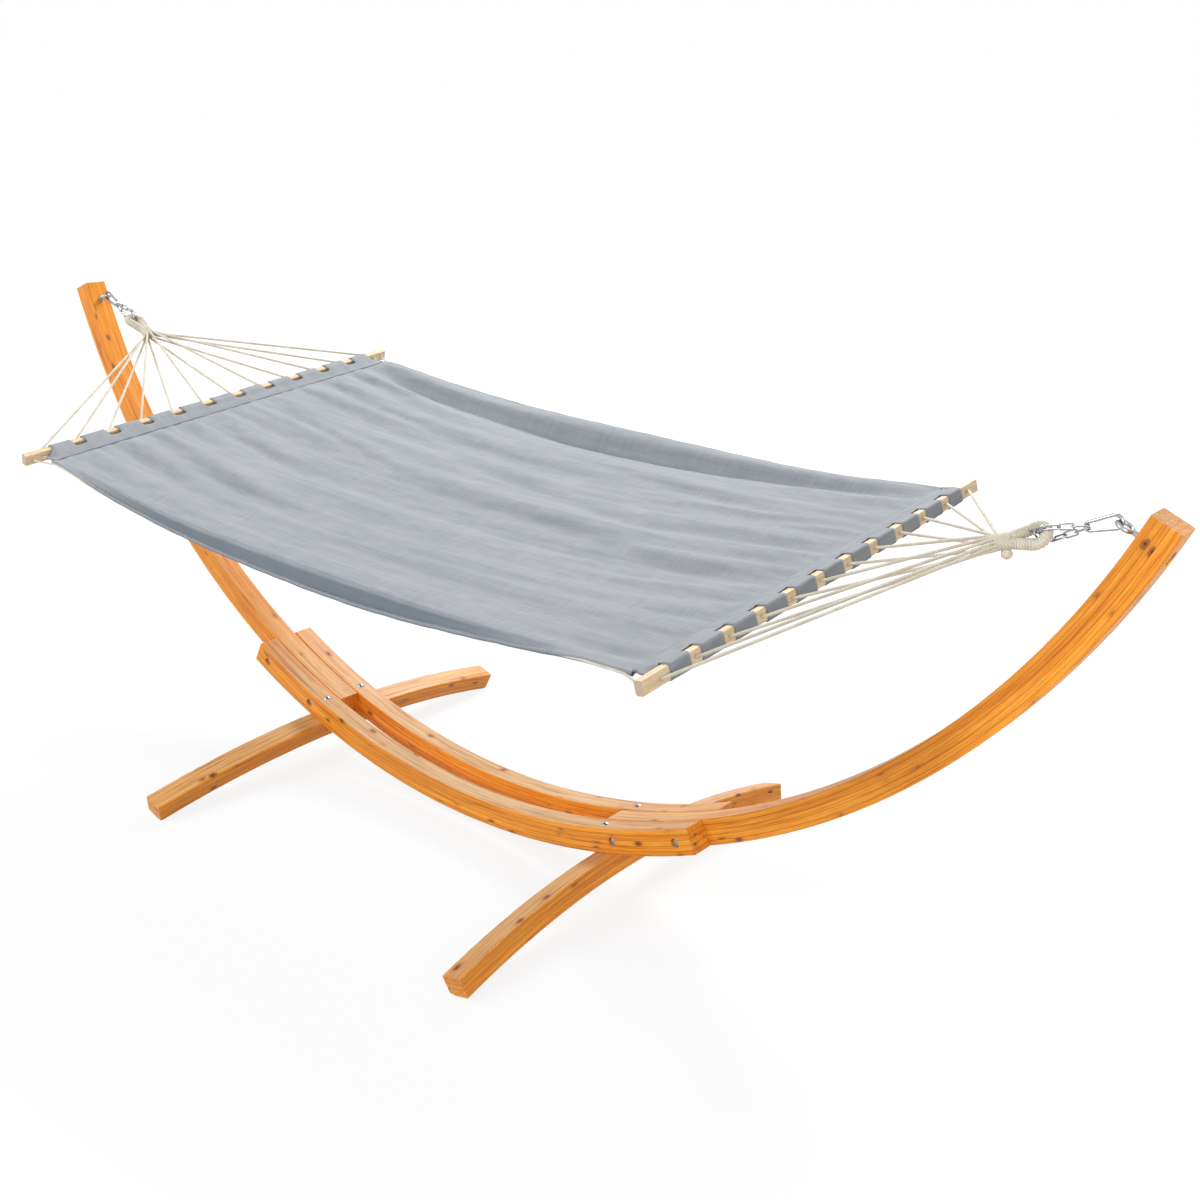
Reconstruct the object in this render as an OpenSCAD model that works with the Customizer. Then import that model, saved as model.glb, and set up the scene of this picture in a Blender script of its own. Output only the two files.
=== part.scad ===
// Hammock on an arched wooden stand: two curved arms clamped between two curved rails,
// two arched cross feet, and a canvas bed hung between two spreader bars on cords, rope
// eyes, short chains and snap hooks.
// X runs along the length, Y across, Z up. The floor is z = 0 and the middle of the
// stand is the origin. All sizes are millimetres and degrees.

/* [Stand] */
// Radius of the centre line that the arms and rails share
arc_radius = 1700; // [1400:10:2100]
// Height of an arm or a rail, along the radius
beam_height = 60; // [45:1:80]
// Thickness of an arm, across the stand
arm_width = 60; // [45:1:80]
// Thickness of a rail, across the stand
rail_width = 55; // [40:1:75]
// Angle of an arm's upper end from the bottom of the arc
arm_tip_angle = 67.5; // [55:0.5:75]
// Angle of an arm's inner end from the bottom of the arc
arm_root_angle = 16.1; // [12:0.1:18]
// Angle of a rail's end from the bottom of the arc
rail_end_angle = 25.7; // [22:0.1:34]
// Rounding of the long edges of the beams
beam_edge = 3.5; // [1:0.5:8]
// Clear gap between an arm and each rail
clamp_gap = 0.4; // [0.2:0.1:2]

/* [Feet] */
// Angle of a foot from the bottom of the arc
foot_angle = 16.8; // [14:0.1:20]
// Radius of a foot's centre line
foot_radius = 2370; // [1800:10:3000]
// Depth of a foot, top to bottom
foot_depth = 50; // [35:1:70]
// Thickness of a foot, along the stand
foot_width = 53; // [40:1:70]
// Overall width over the two ends of a foot
foot_span = 1150; // [900:10:1500]
// Depth planed off the crown of a foot to seat the rails
foot_seat = 1.6; // [0:0.1:4]
// Height planed off the lowest corners of a foot so it stands flat
floor_trim = 4; // [1:0.5:8]

/* [Fixings] */
// Angle of the outer clamp bolt from the bottom of the arc
outer_bolt_angle = 24.2; // [20:0.1:25]
// Angle of the inner clamp bolt from the bottom of the arc
inner_bolt_angle = 18.0; // [17:0.1:21]
// Clamp bolt diameter
clamp_bolt = 10; // [8:1:14]
// Diameter of the sunk hole round a clamp bolt's head or nut
sunk_hole = 22; // [18:1:30]
// Depth of that sunk hole
sunk_depth = 14; // [10:1:18]
// Foot bolt diameter
foot_bolt = 8; // [6:1:12]
// Diameter of a foot bolt's domed head
dome_head = 18; // [14:1:26]
// Clearance round a bolt in its hole, on the radius
hole_gap = 0.4; // [0.2:0.1:1]
// Clearance between a nut or washer and its bolt, on the radius
nut_gap = 0.1; // [0.05:0.05:0.4]

/* [Eye bolts and snap hooks] */
// Distance from the arm's end to the eye bolt, along the arm
eye_from_tip = 52; // [40:1:90]
// Wire diameter of the eye
eye_wire = 8; // [6:0.5:12]
// How deep the nut of the eye bolt is sunk into the outer face of the arm
eye_sink = 14; // [12:0.5:18]
// Inside diameter of the eye
eye_inside = 20; // [16:1:30]
// Distance from the arm's face to the centre of the eye
eye_reach = 28; // [24:1:45]
// Wire diameter of a snap hook
hook_wire = 6.4; // [5:0.2:9]
// Overall length of a snap hook
hook_length = 70; // [60:1:100]
// Overall width of a snap hook at its wide end
hook_width = 29.4; // [26:0.2:40]
// Overall width of a snap hook at its chain end
hook_small = 21.4; // [20:0.2:28]
// Clear gap between two parts that hang in one another
hang_gap = 0.3; // [0.2:0.05:0.6]
// Diameter of the gate's hinge pin
gate_pin = 2; // [1.5:0.1:3]
// Clearance round the hinge pin, on the radius
pin_gap = 0.07; // [0.03:0.01:0.1]

/* [Chain and rope eye] */
// Wire diameter of a chain link
link_wire = 3.5; // [3:0.1:5]
// Overall width of a chain link
link_width = 14; // [12:0.5:20]
// Pitch of the chain
link_pitch = 23.65; // [20:0.05:32]
// Diameter of the cord bundle that makes the rope eye
bundle = 17.4; // [12:0.2:24]
// Thickness of the whipping wound round the bundle
whipping = 1.6; // [1:0.1:3]
// Diameter of the ball knot below the seizing
ball = 19; // [14:1:26]
// Distance from the hanging point to the base of the rope eye
knot_reach = 215; // [190:1:280]
// Turn of the right-hand rope eye about the line of pull
right_turn = 45; // [0:5:60]

/* [Bed] */
// Horizontal distance from a hanging point to its spreader bar
hang_run = 523; // [430:1:640]
// Height of a hanging point above the spreader bars
hang_drop = 221; // [180:1:280]
// Sideways slope of the bed, which hangs a little lower at the front
bed_slope = 5.9; // [0:0.1:10]
// Overall length of a spreader bar
bar_length = 1161; // [950:1:1400]
// Thickness of a spreader bar along the line of pull
bar_thick = 18; // [14:1:26]
// Height of a spreader bar
bar_tall = 28; // [22:1:40]
// Lean of a spreader bar towards its cords
bar_lean = 14; // [0:1:25]
// Distance from the end of a bar to its first cord
bar_margin = 46; // [35:1:70]
// Number of cords at each end
cord_count = 12; // [8:2:16]
// Diameter of a suspension cord
cord = 6; // [4:0.5:9]
// Clearance round a cord in the bar, on the radius
cord_gap = 0.5; // [0.3:0.1:0.9]
// Diameter of the stopper knot behind the bar
knot = 13; // [10:0.5:18]
// Width of the canvas
cloth_width = 1090; // [900:1:1320]
// Thickness of the canvas
cloth_thick = 1.6; // [1:0.1:3]
// Dip of the canvas below the spreader bars at mid length
cloth_dip = 48; // [20:1:120]
// Length of the sleeve behind the bar
sleeve_length = 46; // [35:1:70]
// Clearance between the sleeve and the bar
sleeve_gap = 0.5; // [0.3:0.1:1.5]
// Width of the notch cut in the sleeve at each cord
notch = 32; // [24:1:45]
// Diameter of the cord in each long hem
hem_cord = 5; // [3:0.5:8]
// Clearance round the hem cord
hem_gap = 0.4; // [0.3:0.1:1]

/* [Hidden] */
$fn = 64;
cord_sides = 10;

inner_r = arc_radius - beam_height / 2;
outer_r = arc_radius + beam_height / 2;
rail_y = arm_width / 2 + clamp_gap + rail_width / 2;
stack_y = arm_width / 2 + clamp_gap + rail_width;
head_tall = 0.64 * clamp_bolt;
washer_thick = 1.6;
seat = 0.1;

// Feet: half angle of the arch, the height of its lowest corner below the beam line, and the
// depth of the foot washers below the rails' inner face.
foot_half = asin(foot_span / 2 / (foot_radius + foot_depth / 2));
crown_lift = foot_seat - seat;
foot_low = foot_radius + foot_depth / 2 - (foot_radius - foot_depth / 2) * cos(foot_half) - crown_lift;
foot_drop = beam_height + foot_depth - crown_lift - 16;
rise = (outer_r + foot_low) * cos(foot_angle) + foot_width / 2 * sin(foot_angle)
    - arc_radius - floor_trim;
arc_z = arc_radius + rise;

// Hanging points: the innermost point of each eye's wire.
eye_angle = arm_tip_angle - eye_from_tip / inner_r * 180 / PI;
eye_r = (eye_inside + eye_wire) / 2;
eye_rho = inner_r - eye_reach;
hang_x = (eye_rho - eye_r) * sin(eye_angle);
hang_z = arc_z - (eye_rho - eye_r) * cos(eye_angle);
pull = atan2(hang_drop, hang_run);

// Snap hook outline in the plane of the pull.
hook_r = hook_wire / 2;
big_r = (hook_width - hook_wire) / 2;
small_r = (hook_small - hook_wire) / 2;
hook_top = -(eye_wire / 2 + hang_gap + hook_r);
big_s = hook_top + big_r;
small_s = hook_top + hook_length - hook_wire - small_r;
side_tilt = asin((big_r - small_r) / (small_s - big_s));
side_length = (small_s - big_s) * cos(side_tilt);
tongue = 0.375 * hook_wire;
slot = tongue + 2 * hang_gap;
pivot_t = 5;
nose_t = side_length - 3.2;

// Chain: three links a side, one each side of the rope and one through the eye.
// A link's span is measured between the middles of its two end wires.
bundle_r = bundle / 2 + whipping;
link_r = link_wire / 2;
link_half = link_width / 2 - link_r;
hooked = link_wire + hang_gap + 0.1;
link_span = link_pitch + hooked;
link_core = link_span - 2 * link_half;
nest = link_half - hooked;
start_s = small_s + 0.93;
start_v = link_r + hang_gap;
eye_bend = bundle_r + link_r + hang_gap + link_half + 0.4;
rope_gap = eye_bend - sqrt(pow(link_half + 0.4, 2) - pow(link_half, 2));
mid_v = link_span / 2 + nest;
fold = asin((bundle_r + hang_gap + 0.1 + link_width / 2) / norm([rope_gap, mid_v]))
    - atan2(mid_v, rope_gap);
spread = mid_v + link_core * sin(fold);
strand = 3 * link_span - 2 * hooked + nest;
splay = asin((spread - start_v) / strand);
side_s = start_s + strand * cos(splay);
mid_s = side_s + link_core * cos(fold);
swerve = (small_s + small_r - start_s) / (side_s - small_s - small_r);
bend_s = mid_s - rope_gap + eye_bend;
neck = acos(eye_bend / (knot_reach - bend_s));
neck_tilt = 90 - neck;
root_s = knot_reach - 1.1 + cord / 2;
root_r = 0.54 * cord / sin(180 / cord_count);
seizing_r = bundle_r + 5.4;

// Bed.
bar_x = hang_x - hang_run;
bar_z = hang_z - hang_drop;
cord_pitch = (bar_length - 2 * bar_margin) / (cord_count - 1);
seam_x = bar_x - (bar_thick / 2 + sleeve_length) * cos(pull / 3.6);
seam_z = -(bar_thick / 2 + sleeve_length) * sin(pull / 3.6);
dip = cloth_dip + seam_z;
dip_r = (seam_x * seam_x + dip * dip) / (2 * dip);
dip_angle = asin(seam_x / dip_r);
hem_y = cloth_width / 2 - hem_cord / 2 - hem_gap - cloth_thick;
sleeve_end = bar_length / 2 - 72;
hem_pin = bar_length / 2 - 18;

wood = [0.86, 0.55, 0.22];
pale = [0.88, 0.78, 0.62];
steel = [0.75, 0.76, 0.78];
cotton = [0.92, 0.89, 0.82];
grey = [0.65, 0.68, 0.71];

// ---- shared shapes ----

module rounded(w, h, r) {
    square([w - 2 * r, h], center = true);
    square([w, h - 2 * r], center = true);
    for (x = [-1, 1], y = [-1, 1])
        translate([x * (w / 2 - r), y * (h / 2 - r)])
            circle(r = r, $fn = 32);
}

// Sweeps a profile (radius, -y) along the bottom of a circle in the XZ plane.
module sweep(radius, from, to)
    rotate([90, 0, 0])
        rotate([0, 0, from - 90])
            rotate_extrude(angle = to - from, $fn = 60 * 360 / (to - from))
                translate([radius, 0])
                    children();

// Frame on the beam line: z outwards from the arc's centre turned up, x along the beam.
module on_arc(angle, rho)
    translate([rho * sin(angle), 0, arc_z - rho * cos(angle)])
        rotate([0, -angle, 0])
            children();

module rod(p, q, r) {
    d = q - p;
    l = norm(d);
    translate(p)
        rotate([0, acos(d[2] / l), atan2(d[1], d[0])])
            cylinder(h = l, r = r);
}

// Puts a left-hand part on the left (side -1) or mirrored on the right (side 1).
module sided(side)
    if (side < 0)
        children();
    else
        mirror([1, 0, 0])
            children();

// Frame at the left hanging point: x down the line of pull, z square to it.
module at_pull()
    translate([-hang_x, 0, hang_z])
        rotate([0, pull, 0])
            children();

module at_bed()
    translate([0, 0, bar_z])
        rotate([bed_slope, 0, 0])
            children();

// Frame at the middle of the left bar: x inwards, z along the bar's height.
module at_bar()
    translate([-bar_x, 0, 0])
        rotate([0, bar_lean, 0])
            children();

// ---- beams ----

module clamp_holes()
    for (a = [outer_bolt_angle, inner_bolt_angle], s = [-1, 1])
        on_arc(s * a, arc_radius)
            rotate([90, 0, 0]) {
                cylinder(h = 2 * stack_y + 20, r = clamp_bolt / 2 + hole_gap, center = true);
                for (m = [0, 1])
                    mirror([0, 0, m])
                        translate([0, 0, stack_y - sunk_depth])
                            cylinder(h = sunk_depth + 10, r = sunk_hole / 2);
            }

module foot_holes()
    for (s = [-1, 1], y = [-1, 1])
        on_arc(s * foot_angle, inner_r)
            translate([0, y * rail_y, 0]) {
                translate([0, 0, -200])
                    cylinder(h = 300, r = foot_bolt / 2 + hole_gap);
                translate([0, 0, -2.5])
                    cube([foot_bolt + 2 * hole_gap, foot_bolt + 2 * hole_gap, 7], center = true);
            }

module rail(side)
    color(wood)
        difference() {
            translate([0, side * rail_y, arc_z])
                sweep(arc_radius, -rail_end_angle, rail_end_angle)
                    rounded(beam_height, rail_width, beam_edge);
            clamp_holes();
            foot_holes();
        }

module arm(side)
    color(wood)
        sided(side)
            difference() {
                translate([0, 0, arc_z])
                    sweep(arc_radius, -arm_tip_angle, -arm_root_angle)
                        rounded(beam_height, arm_width, beam_edge);
                clamp_holes();
                on_arc(-eye_angle, outer_r + 20)
                    cylinder(h = beam_height + 60, r = eye_wire / 2 + hole_gap);
                on_arc(-eye_angle, outer_r + 20)
                    cylinder(h = 20 + eye_sink, r = 1.5 * eye_wire + 1.5);
            }

module foot(side)
    color(wood)
        sided(side)
            difference() {
                on_arc(-foot_angle, outer_r)
                    translate([0, 0, crown_lift - foot_radius - foot_depth / 2])
                        rotate([0, 90, 0])
                            rotate([0, 0, 180 - foot_half])
                                rotate_extrude(angle = 2 * foot_half, $fn = 900)
                                    translate([foot_radius, 0])
                                        rounded(foot_depth, foot_width, beam_edge);
                on_arc(-foot_angle, outer_r)
                    translate([0, 0, 50 - seat])
                        cube([200, 400, 100], center = true);
                foot_holes();
                for (y = [-1, 1])
                    on_arc(-foot_angle, inner_r + foot_drop)
                        translate([0, y * rail_y, -60])
                            cylinder(h = 60, r = sunk_hole / 2);
                translate([0, 0, -100])
                    cube([4 * arc_radius, 2 * foot_span, 200], center = true);
            }

// ---- fixings ----

module clamp_frames(side)
    sided(side)
        for (a = [outer_bolt_angle, inner_bolt_angle])
            on_arc(-a, arc_radius)
                rotate([90, 0, 0])
                    children();

grip = stack_y - sunk_depth;

module clamp_bolts(side)
    color(steel)
        clamp_frames(side) {
            translate([0, 0, grip + seat + washer_thick + seat])
                cylinder(h = head_tall, r = 0.92 * clamp_bolt, $fn = 6);
            translate([0, 0, -grip - 12])
                cylinder(h = 2 * grip + 12 + seat + washer_thick + seat + 1, r = clamp_bolt / 2);
        }

module washer(bolt, wide)
    difference() {
        cylinder(h = washer_thick, r = wide / 2);
        translate([0, 0, -1])
            cylinder(h = washer_thick + 2, r = bolt / 2 + nut_gap);
    }

module nut(bolt)
    difference() {
        cylinder(h = 0.8 * bolt, r = 0.92 * bolt, $fn = 6);
        translate([0, 0, -1])
            cylinder(h = bolt + 2, r = bolt / 2 + nut_gap);
    }

module clamp_washers(side)
    color(steel)
        clamp_frames(side) {
            translate([0, 0, grip + seat])
                washer(clamp_bolt, sunk_hole - 2);
            translate([0, 0, -grip - seat - washer_thick])
                washer(clamp_bolt, sunk_hole - 2);
        }

module clamp_nuts(side)
    color(steel)
        clamp_frames(side)
            translate([0, 0, -grip - 2 * seat - washer_thick - 0.8 * clamp_bolt])
                nut(clamp_bolt);

module foot_frames(side)
    sided(side)
        for (y = [-1, 1])
            on_arc(-foot_angle, inner_r)
                translate([0, y * rail_y, 0])
                    children();

module foot_bolts(side)
    color(steel)
        foot_frames(side) {
            translate([0, 0, seat])
                intersection() {
                    translate([0, 0, 4.5 - 0.62 * dome_head])
                        sphere(r = 0.62 * dome_head);
                    cylinder(h = 10, r = dome_head / 2);
                }
            translate([0, 0, -2.2])
                cube([foot_bolt, foot_bolt, 6], center = true);
            translate([0, 0, -foot_drop - 12])
                cylinder(h = foot_drop + 12, r = foot_bolt / 2);
        }

module foot_washers(side)
    color(steel)
        foot_frames(side)
            translate([0, 0, -foot_drop - seat - washer_thick])
                washer(foot_bolt, sunk_hole - 2);

module foot_nuts(side)
    color(steel)
        foot_frames(side)
            translate([0, 0, -foot_drop - 2 * seat - washer_thick - 0.8 * foot_bolt])
                nut(foot_bolt);

// ---- eye bolt ----

// Frame at the left eye: z from the arm towards the arc's centre.
module at_eye(rho)
    on_arc(-eye_angle, rho)
        children();

module eye_bolt(side)
    color(steel)
        sided(side)
            at_eye(eye_rho) {
                rotate([0, 90, 0])
                    rotate_extrude()
                        translate([eye_r, 0])
                            circle(r = eye_wire / 2);
                translate([0, 0, -eye_reach + seat])
                    cylinder(h = 4, r = 0.95 * eye_wire);
                translate([0, 0, -eye_reach + seat])
                    cylinder(h = eye_reach - eye_r, r = 0.62 * eye_wire);
                translate([0, 0, -eye_reach - beam_height - 12 + eye_sink])
                    cylinder(h = beam_height + 14 - eye_sink, r = eye_wire / 2);
            }

module eye_washer(side)
    color(steel)
        sided(side)
            at_eye(outer_r - eye_sink + seat + washer_thick)
                washer(eye_wire, 3 * eye_wire);

module eye_nut(side)
    color(steel)
        sided(side)
            at_eye(outer_r - eye_sink + 2 * seat + washer_thick + 0.8 * eye_wire)
                nut(eye_wire);

// ---- snap hook ----

// Arc of wire in the plane of the pull, centred on the pull line.
module wire_arc(s, r, from, to)
    translate([s, 0, 0])
        rotate([90, 0, 0])
            rotate([0, 0, from])
                rotate_extrude(angle = to - from)
                    translate([r, 0])
                        circle(r = hook_r);

// Frame on the gate side: x runs from the chain end to the nose, z outwards.
module at_gate()
    translate([small_s + small_r * sin(side_tilt), 0, small_r * cos(side_tilt)])
        mirror([1, 0, 0])
            rotate([0, -side_tilt, 0])
                children();

// Straight wire, a hair thicker than the bends it runs into.
module straight_wire(from, to)
    translate([from, 0, 0])
        rotate([0, 90, 0])
            cylinder(h = to - from, r = hook_r + 0.06);

// A flat plate in the plane of the hook, with a round end at the pivot.
module tongue_plate(from, to, round_end)
    rotate([90, 0, 0])
        linear_extrude(height = tongue, center = true) {
            translate([from, -hook_r + 0.4])
                square([to - from, hook_wire - 0.8]);
            if (round_end)
                translate([to, 0])
                    circle(r = hook_r - 0.4);
        }

module snap_hook(side)
    color(steel)
        sided(side)
            at_pull()
                difference() {
                    union() {
                        wire_arc(big_s, big_r, 90 - side_tilt, 270 + side_tilt);
                        wire_arc(small_s, small_r, side_tilt - 90, 90 - side_tilt);
                        mirror([0, 0, 1])
                            at_gate()
                                straight_wire(-0.4, side_length + 0.4);
                        at_gate() {
                            straight_wire(-0.4, 1);
                            straight_wire(nose_t, side_length + 0.4);
                            tongue_plate(0.5, pivot_t, true);
                            tongue_plate(nose_t - 4.5, nose_t + 1, false);
                        }
                    }
                    at_gate()
                        translate([pivot_t, 0, 0])
                            rotate([90, 0, 0])
                                cylinder(h = 20, r = gate_pin / 2 + pin_gap, center = true);
                }

module gate(side)
    color(steel)
        sided(side)
            at_pull()
                at_gate()
                    difference() {
                        union() {
                            translate([pivot_t, 0, 0])
                                rotate([0, 90, 0])
                                    cylinder(h = nose_t - 0.4 - pivot_t, r = hook_r);
                            intersection() {
                                translate([pivot_t, 0, 0])
                                    rotate([90, 0, 0])
                                        cylinder(h = hook_wire + 2, r = hook_r, center = true);
                                translate([0, 0, 0])
                                    rotate([0, 90, 0])
                                        cylinder(h = pivot_t + 2, r = hook_r);
                            }
                        }
                        translate([-1, 0, 0])
                            cube([2 * (pivot_t + 5), slot, 20], center = true);
                        translate([nose_t - 1, 0, 0])
                            cube([9, slot, 20], center = true);
                        translate([pivot_t + 2, 0, 0])
                            rotate([0, 90, 0])
                                cylinder(h = 20, r = 0.27 * hook_wire);
                        translate([pivot_t, 0, 0])
                            rotate([90, 0, 0])
                                cylinder(h = 20, r = gate_pin / 2 + pin_gap, center = true);
                    }

module gate_pins(side)
    color(steel)
        sided(side)
            at_pull()
                at_gate()
                    translate([pivot_t, 0, 0])
                        rotate([90, 0, 0])
                            cylinder(h = hook_wire, r = gate_pin / 2, center = true);

module gate_spring(side)
    color(steel)
        sided(side)
            at_pull()
                at_gate()
                    translate([pivot_t + hook_r + 0.8, 0, 0])
                        rotate([0, 90, 0]) {
                            cylinder(h = 13, r = 0.7);
                            cylinder(h = 2, r = 0.23 * hook_wire);
                            for (i = [0:6])
                                translate([0, 0, 3 + 1.5 * i])
                                    rotate_extrude()
                                        translate([1.05, 0])
                                            circle(r = 0.42);
                        }

// ---- chain ----

// One link along x between end wires centred at 0 and link_span, wide along y.
module link() {
    translate([link_half, 0, 0])
        rotate([0, 0, 90])
            rotate_extrude(angle = 180)
                translate([link_half, 0])
                    circle(r = link_r);
    translate([link_span - link_half, 0, 0])
        rotate([0, 0, -90])
            rotate_extrude(angle = 180)
                translate([link_half, 0])
                    circle(r = link_r);
    for (y = [-1, 1])
        translate([link_half, y * link_half, 0])
            rotate([0, 90, 0])
                cylinder(h = link_core, r = link_r);
}

module chain(side, turn)
    color(steel)
        sided(side)
            at_pull() {
                for (m = [-1, 1]) {
                    p = [start_s, m * swerve * spread * sin(turn), m * start_v];
                    q = [side_s, -m * spread * sin(turn), m * spread * cos(turn)];
                    d = (q - p) / norm(q - p);
                    for (i = [0:2])
                        translate(p + i * (link_span - hooked) * d)
                            rotate([i == 1 ? 90 + turn / 3 : i * turn / 3, -asin(d[2]), atan2(d[1], d[0])])
                                link();
                    rotate([turn, 0, 0])
                        translate([side_s, 0, m * spread])
                            rotate([0, m * fold, 0])
                                rotate([90, 0, 0])
                                    translate([-link_half, 0, 0])
                                        link();
                }
                rotate([turn, 0, 0])
                    translate([mid_s, 0, link_span / 2])
                        rotate([0, 90, 0])
                            link();
            }

// ---- rope eye ----

leg_length = sqrt(pow(knot_reach - bend_s, 2) - pow(eye_bend, 2));

// One half of the eye, y > 0, as a bar of radius r bored to radius inside, up to x = reach.
module eye_half(r, inside, reach)
    intersection() {
        union() {
            translate([bend_s, 0, 0])
                rotate([0, 0, neck])
                    rotate_extrude(angle = 180 - neck)
                        translate([eye_bend, 0])
                            tube_section(r, inside);
            translate([bend_s + eye_bend * cos(neck), eye_bend * sin(neck), 0])
                rotate([0, 90, -neck_tilt])
                    translate([0, 0, -0.4])
                        linear_extrude(height = leg_length + 0.4)
                            tube_section(r + 0.06, inside > 0 ? inside + 0.06 : 0);
        }
        translate([reach - 150, 50, 0])
            cube([300, 100, 200], center = true);
    }

module tube_section(r, inside)
    difference() {
        circle(r = r);
        if (inside > 0)
            circle(r = inside);
    }

module eye_whole(r, inside, reach) {
    eye_half(r, inside, reach);
    mirror([0, 1, 0])
        eye_half(r, inside, reach);
}

module rope_eye(side, turn)
    color(cotton)
        sided(side)
            at_pull()
                rotate([turn, 0, 0])
                    eye_whole(bundle / 2, 0, knot_reach);

module whipping_wrap(side, turn)
    color(cotton)
        sided(side)
            at_pull()
                rotate([turn, 0, 0])
                    eye_whole(bundle_r, bundle / 2 + 0.2, knot_reach - 22);

module seizing(side, turn)
    color(cotton)
        sided(side)
            at_pull() {
                rotate([turn, 0, 0])
                    difference() {
                        translate([knot_reach - 21, 0, 0])
                            rotate([0, 90, 0])
                                cylinder(h = 20, r = seizing_r);
                        for (m = [-1, 1])
                            translate([bend_s + eye_bend * cos(neck), m * eye_bend * sin(neck), 0])
                                rotate([0, 90, -m * neck_tilt])
                                    cylinder(h = leg_length + 20, r = bundle / 2 + 0.2);
                    }
                translate([knot_reach - 10, 0, -seizing_r - hang_gap - ball / 2])
                    sphere(r = ball / 2);
            }

// ---- cords, bars and knots ----

function cord_y(k) = -bar_length / 2 + bar_margin + k * cord_pitch;

// A point in the left bar's frame, as it stands after the bed's slope.
function bar_point(a, y, b) =
    let (x = -bar_x + a * cos(bar_lean) + b * sin(bar_lean),
        z = -a * sin(bar_lean) + b * cos(bar_lean))
    [x, y * cos(bed_slope) - z * sin(bed_slope), bar_z + y * sin(bed_slope) + z * cos(bed_slope)];

// A point in the left pull frame.
function pull_point(s, y, v) =
    [-hang_x + s * cos(pull) + v * sin(pull), y, hang_z - s * sin(pull) + v * cos(pull)];

// Points round a cord at p, square to the direction d.
function cord_ring(p, d) =
    let (u = cross(d, [0, 0, 1]) / norm(cross(d, [0, 0, 1])), w = cross(u, d))
    [for (i = [0:cord_sides - 1])
        p + cord / 2 * (u * cos(360 / cord_sides * i) + w * sin(360 / cord_sides * i))];

// A straight-sided tube through a list of points.
module cord_tube(p) {
    n = len(p);
    d = [for (i = [0:n - 1]) p[min(i + 1, n - 1)] - p[max(i - 1, 0)]];
    polyhedron(
        points = [for (i = [0:n - 1]) each cord_ring(p[i], d[i] / norm(d[i]))],
        faces = [
            [for (j = [0:cord_sides - 1]) j],
            [for (j = [0:cord_sides - 1]) n * cord_sides - 1 - j],
            for (i = [0:n - 2], j = [0:cord_sides - 1])
                let (a = i * cord_sides + j, b = i * cord_sides + (j + 1) % cord_sides)
                [a, a + cord_sides, b + cord_sides, b]
        ]);
}

module cords(side)
    color(cotton)
        sided(side)
            for (k = [0:cord_count - 1]) {
                exit = bar_point(-bar_thick / 2 - 0.8 * cord, cord_y(k), 0);
                spot = 360 / cord_count * (floor(k / 2) + 0.5);
                root = pull_point(root_s, -root_r * cos(spot), (2 * (k % 2) - 1) * root_r * sin(spot));
                cord_tube([
                    bar_point(bar_thick / 2 + 0.4, cord_y(k), 0),
                    exit + (bar_point(bar_thick / 2, cord_y(k), 0) - exit) * cord / bar_thick / 2,
                    exit + (root - exit) / norm(root - exit) * cord / 2,
                    root]);
            }

module spreader_bar(side)
    color(pale)
        sided(side)
            at_bed()
                at_bar()
                    difference() {
                        rotate([90, 0, 0])
                            linear_extrude(height = bar_length, center = true)
                                rounded(bar_thick, bar_tall, 3.5);
                        for (k = [0:cord_count - 1])
                            translate([0, cord_y(k), 0])
                                rotate([0, 90, 0])
                                    cylinder(h = 60, r = cord / 2 + cord_gap, center = true);
                        for (m = [-1, 1])
                            translate([bar_thick / 2 - 9, m * hem_pin, 0])
                                rotate([0, 90, 0])
                                    cylinder(h = 30, r = hem_cord / 2 + cord_gap);
                    }

module cord_knots(side)
    color(cotton)
        sided(side)
            at_bed()
                at_bar()
                    for (k = [0:cord_count - 1])
                        translate([bar_thick / 2 + knot / 2 + 0.7, cord_y(k), 0])
                            sphere(r = knot / 2);

// ---- canvas ----

// Corners of the sleeve in the left bar's frame, at a distance e from the bar.
function ring(e, tip) = [
    [-bar_thick / 2 - e, bar_tall / 2 + e - 3],
    [-bar_thick / 2 - e + 3, bar_tall / 2 + e],
    [bar_thick / 2, bar_tall / 2 + e],
    tip,
    [bar_thick / 2, -bar_tall / 2 - e],
    [-bar_thick / 2 - e + 3, -bar_tall / 2 - e],
    [-bar_thick / 2 - e, -bar_tall / 2 - e + 3]];

// The seam in the left bar's frame.
seam_a = (bar_x - seam_x) * cos(bar_lean) - seam_z * sin(bar_lean);
seam_b = (bar_x - seam_x) * sin(bar_lean) + seam_z * cos(bar_lean);

module sleeve()
    difference() {
        at_bar()
            rotate([90, 0, 0])
                linear_extrude(height = cloth_width, center = true)
                    difference() {
                        polygon(ring(sleeve_gap + cloth_thick, [seam_a + 3, seam_b]));
                        polygon(ring(sleeve_gap, [seam_a - 3, seam_b]));
                    }
        for (k = [1:cord_count - 2])
            at_bar()
                translate([bar_thick / 2 + 5 - 50, cord_y(k), 0])
                    cube([100, notch, 100], center = true);
        for (m = [-1, 1])
            at_bar()
                translate([bar_thick / 2 + 5 - 50, m * (sleeve_end + 100), 0])
                    cube([100, 200, 100], center = true);
        for (m = [-1, 1])
            at_bar()
                translate([seam_a - 20, m * (hem_y + 50 - hem_cord), 0])
                    cube([80, 100, 100], center = true);
    }

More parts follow.
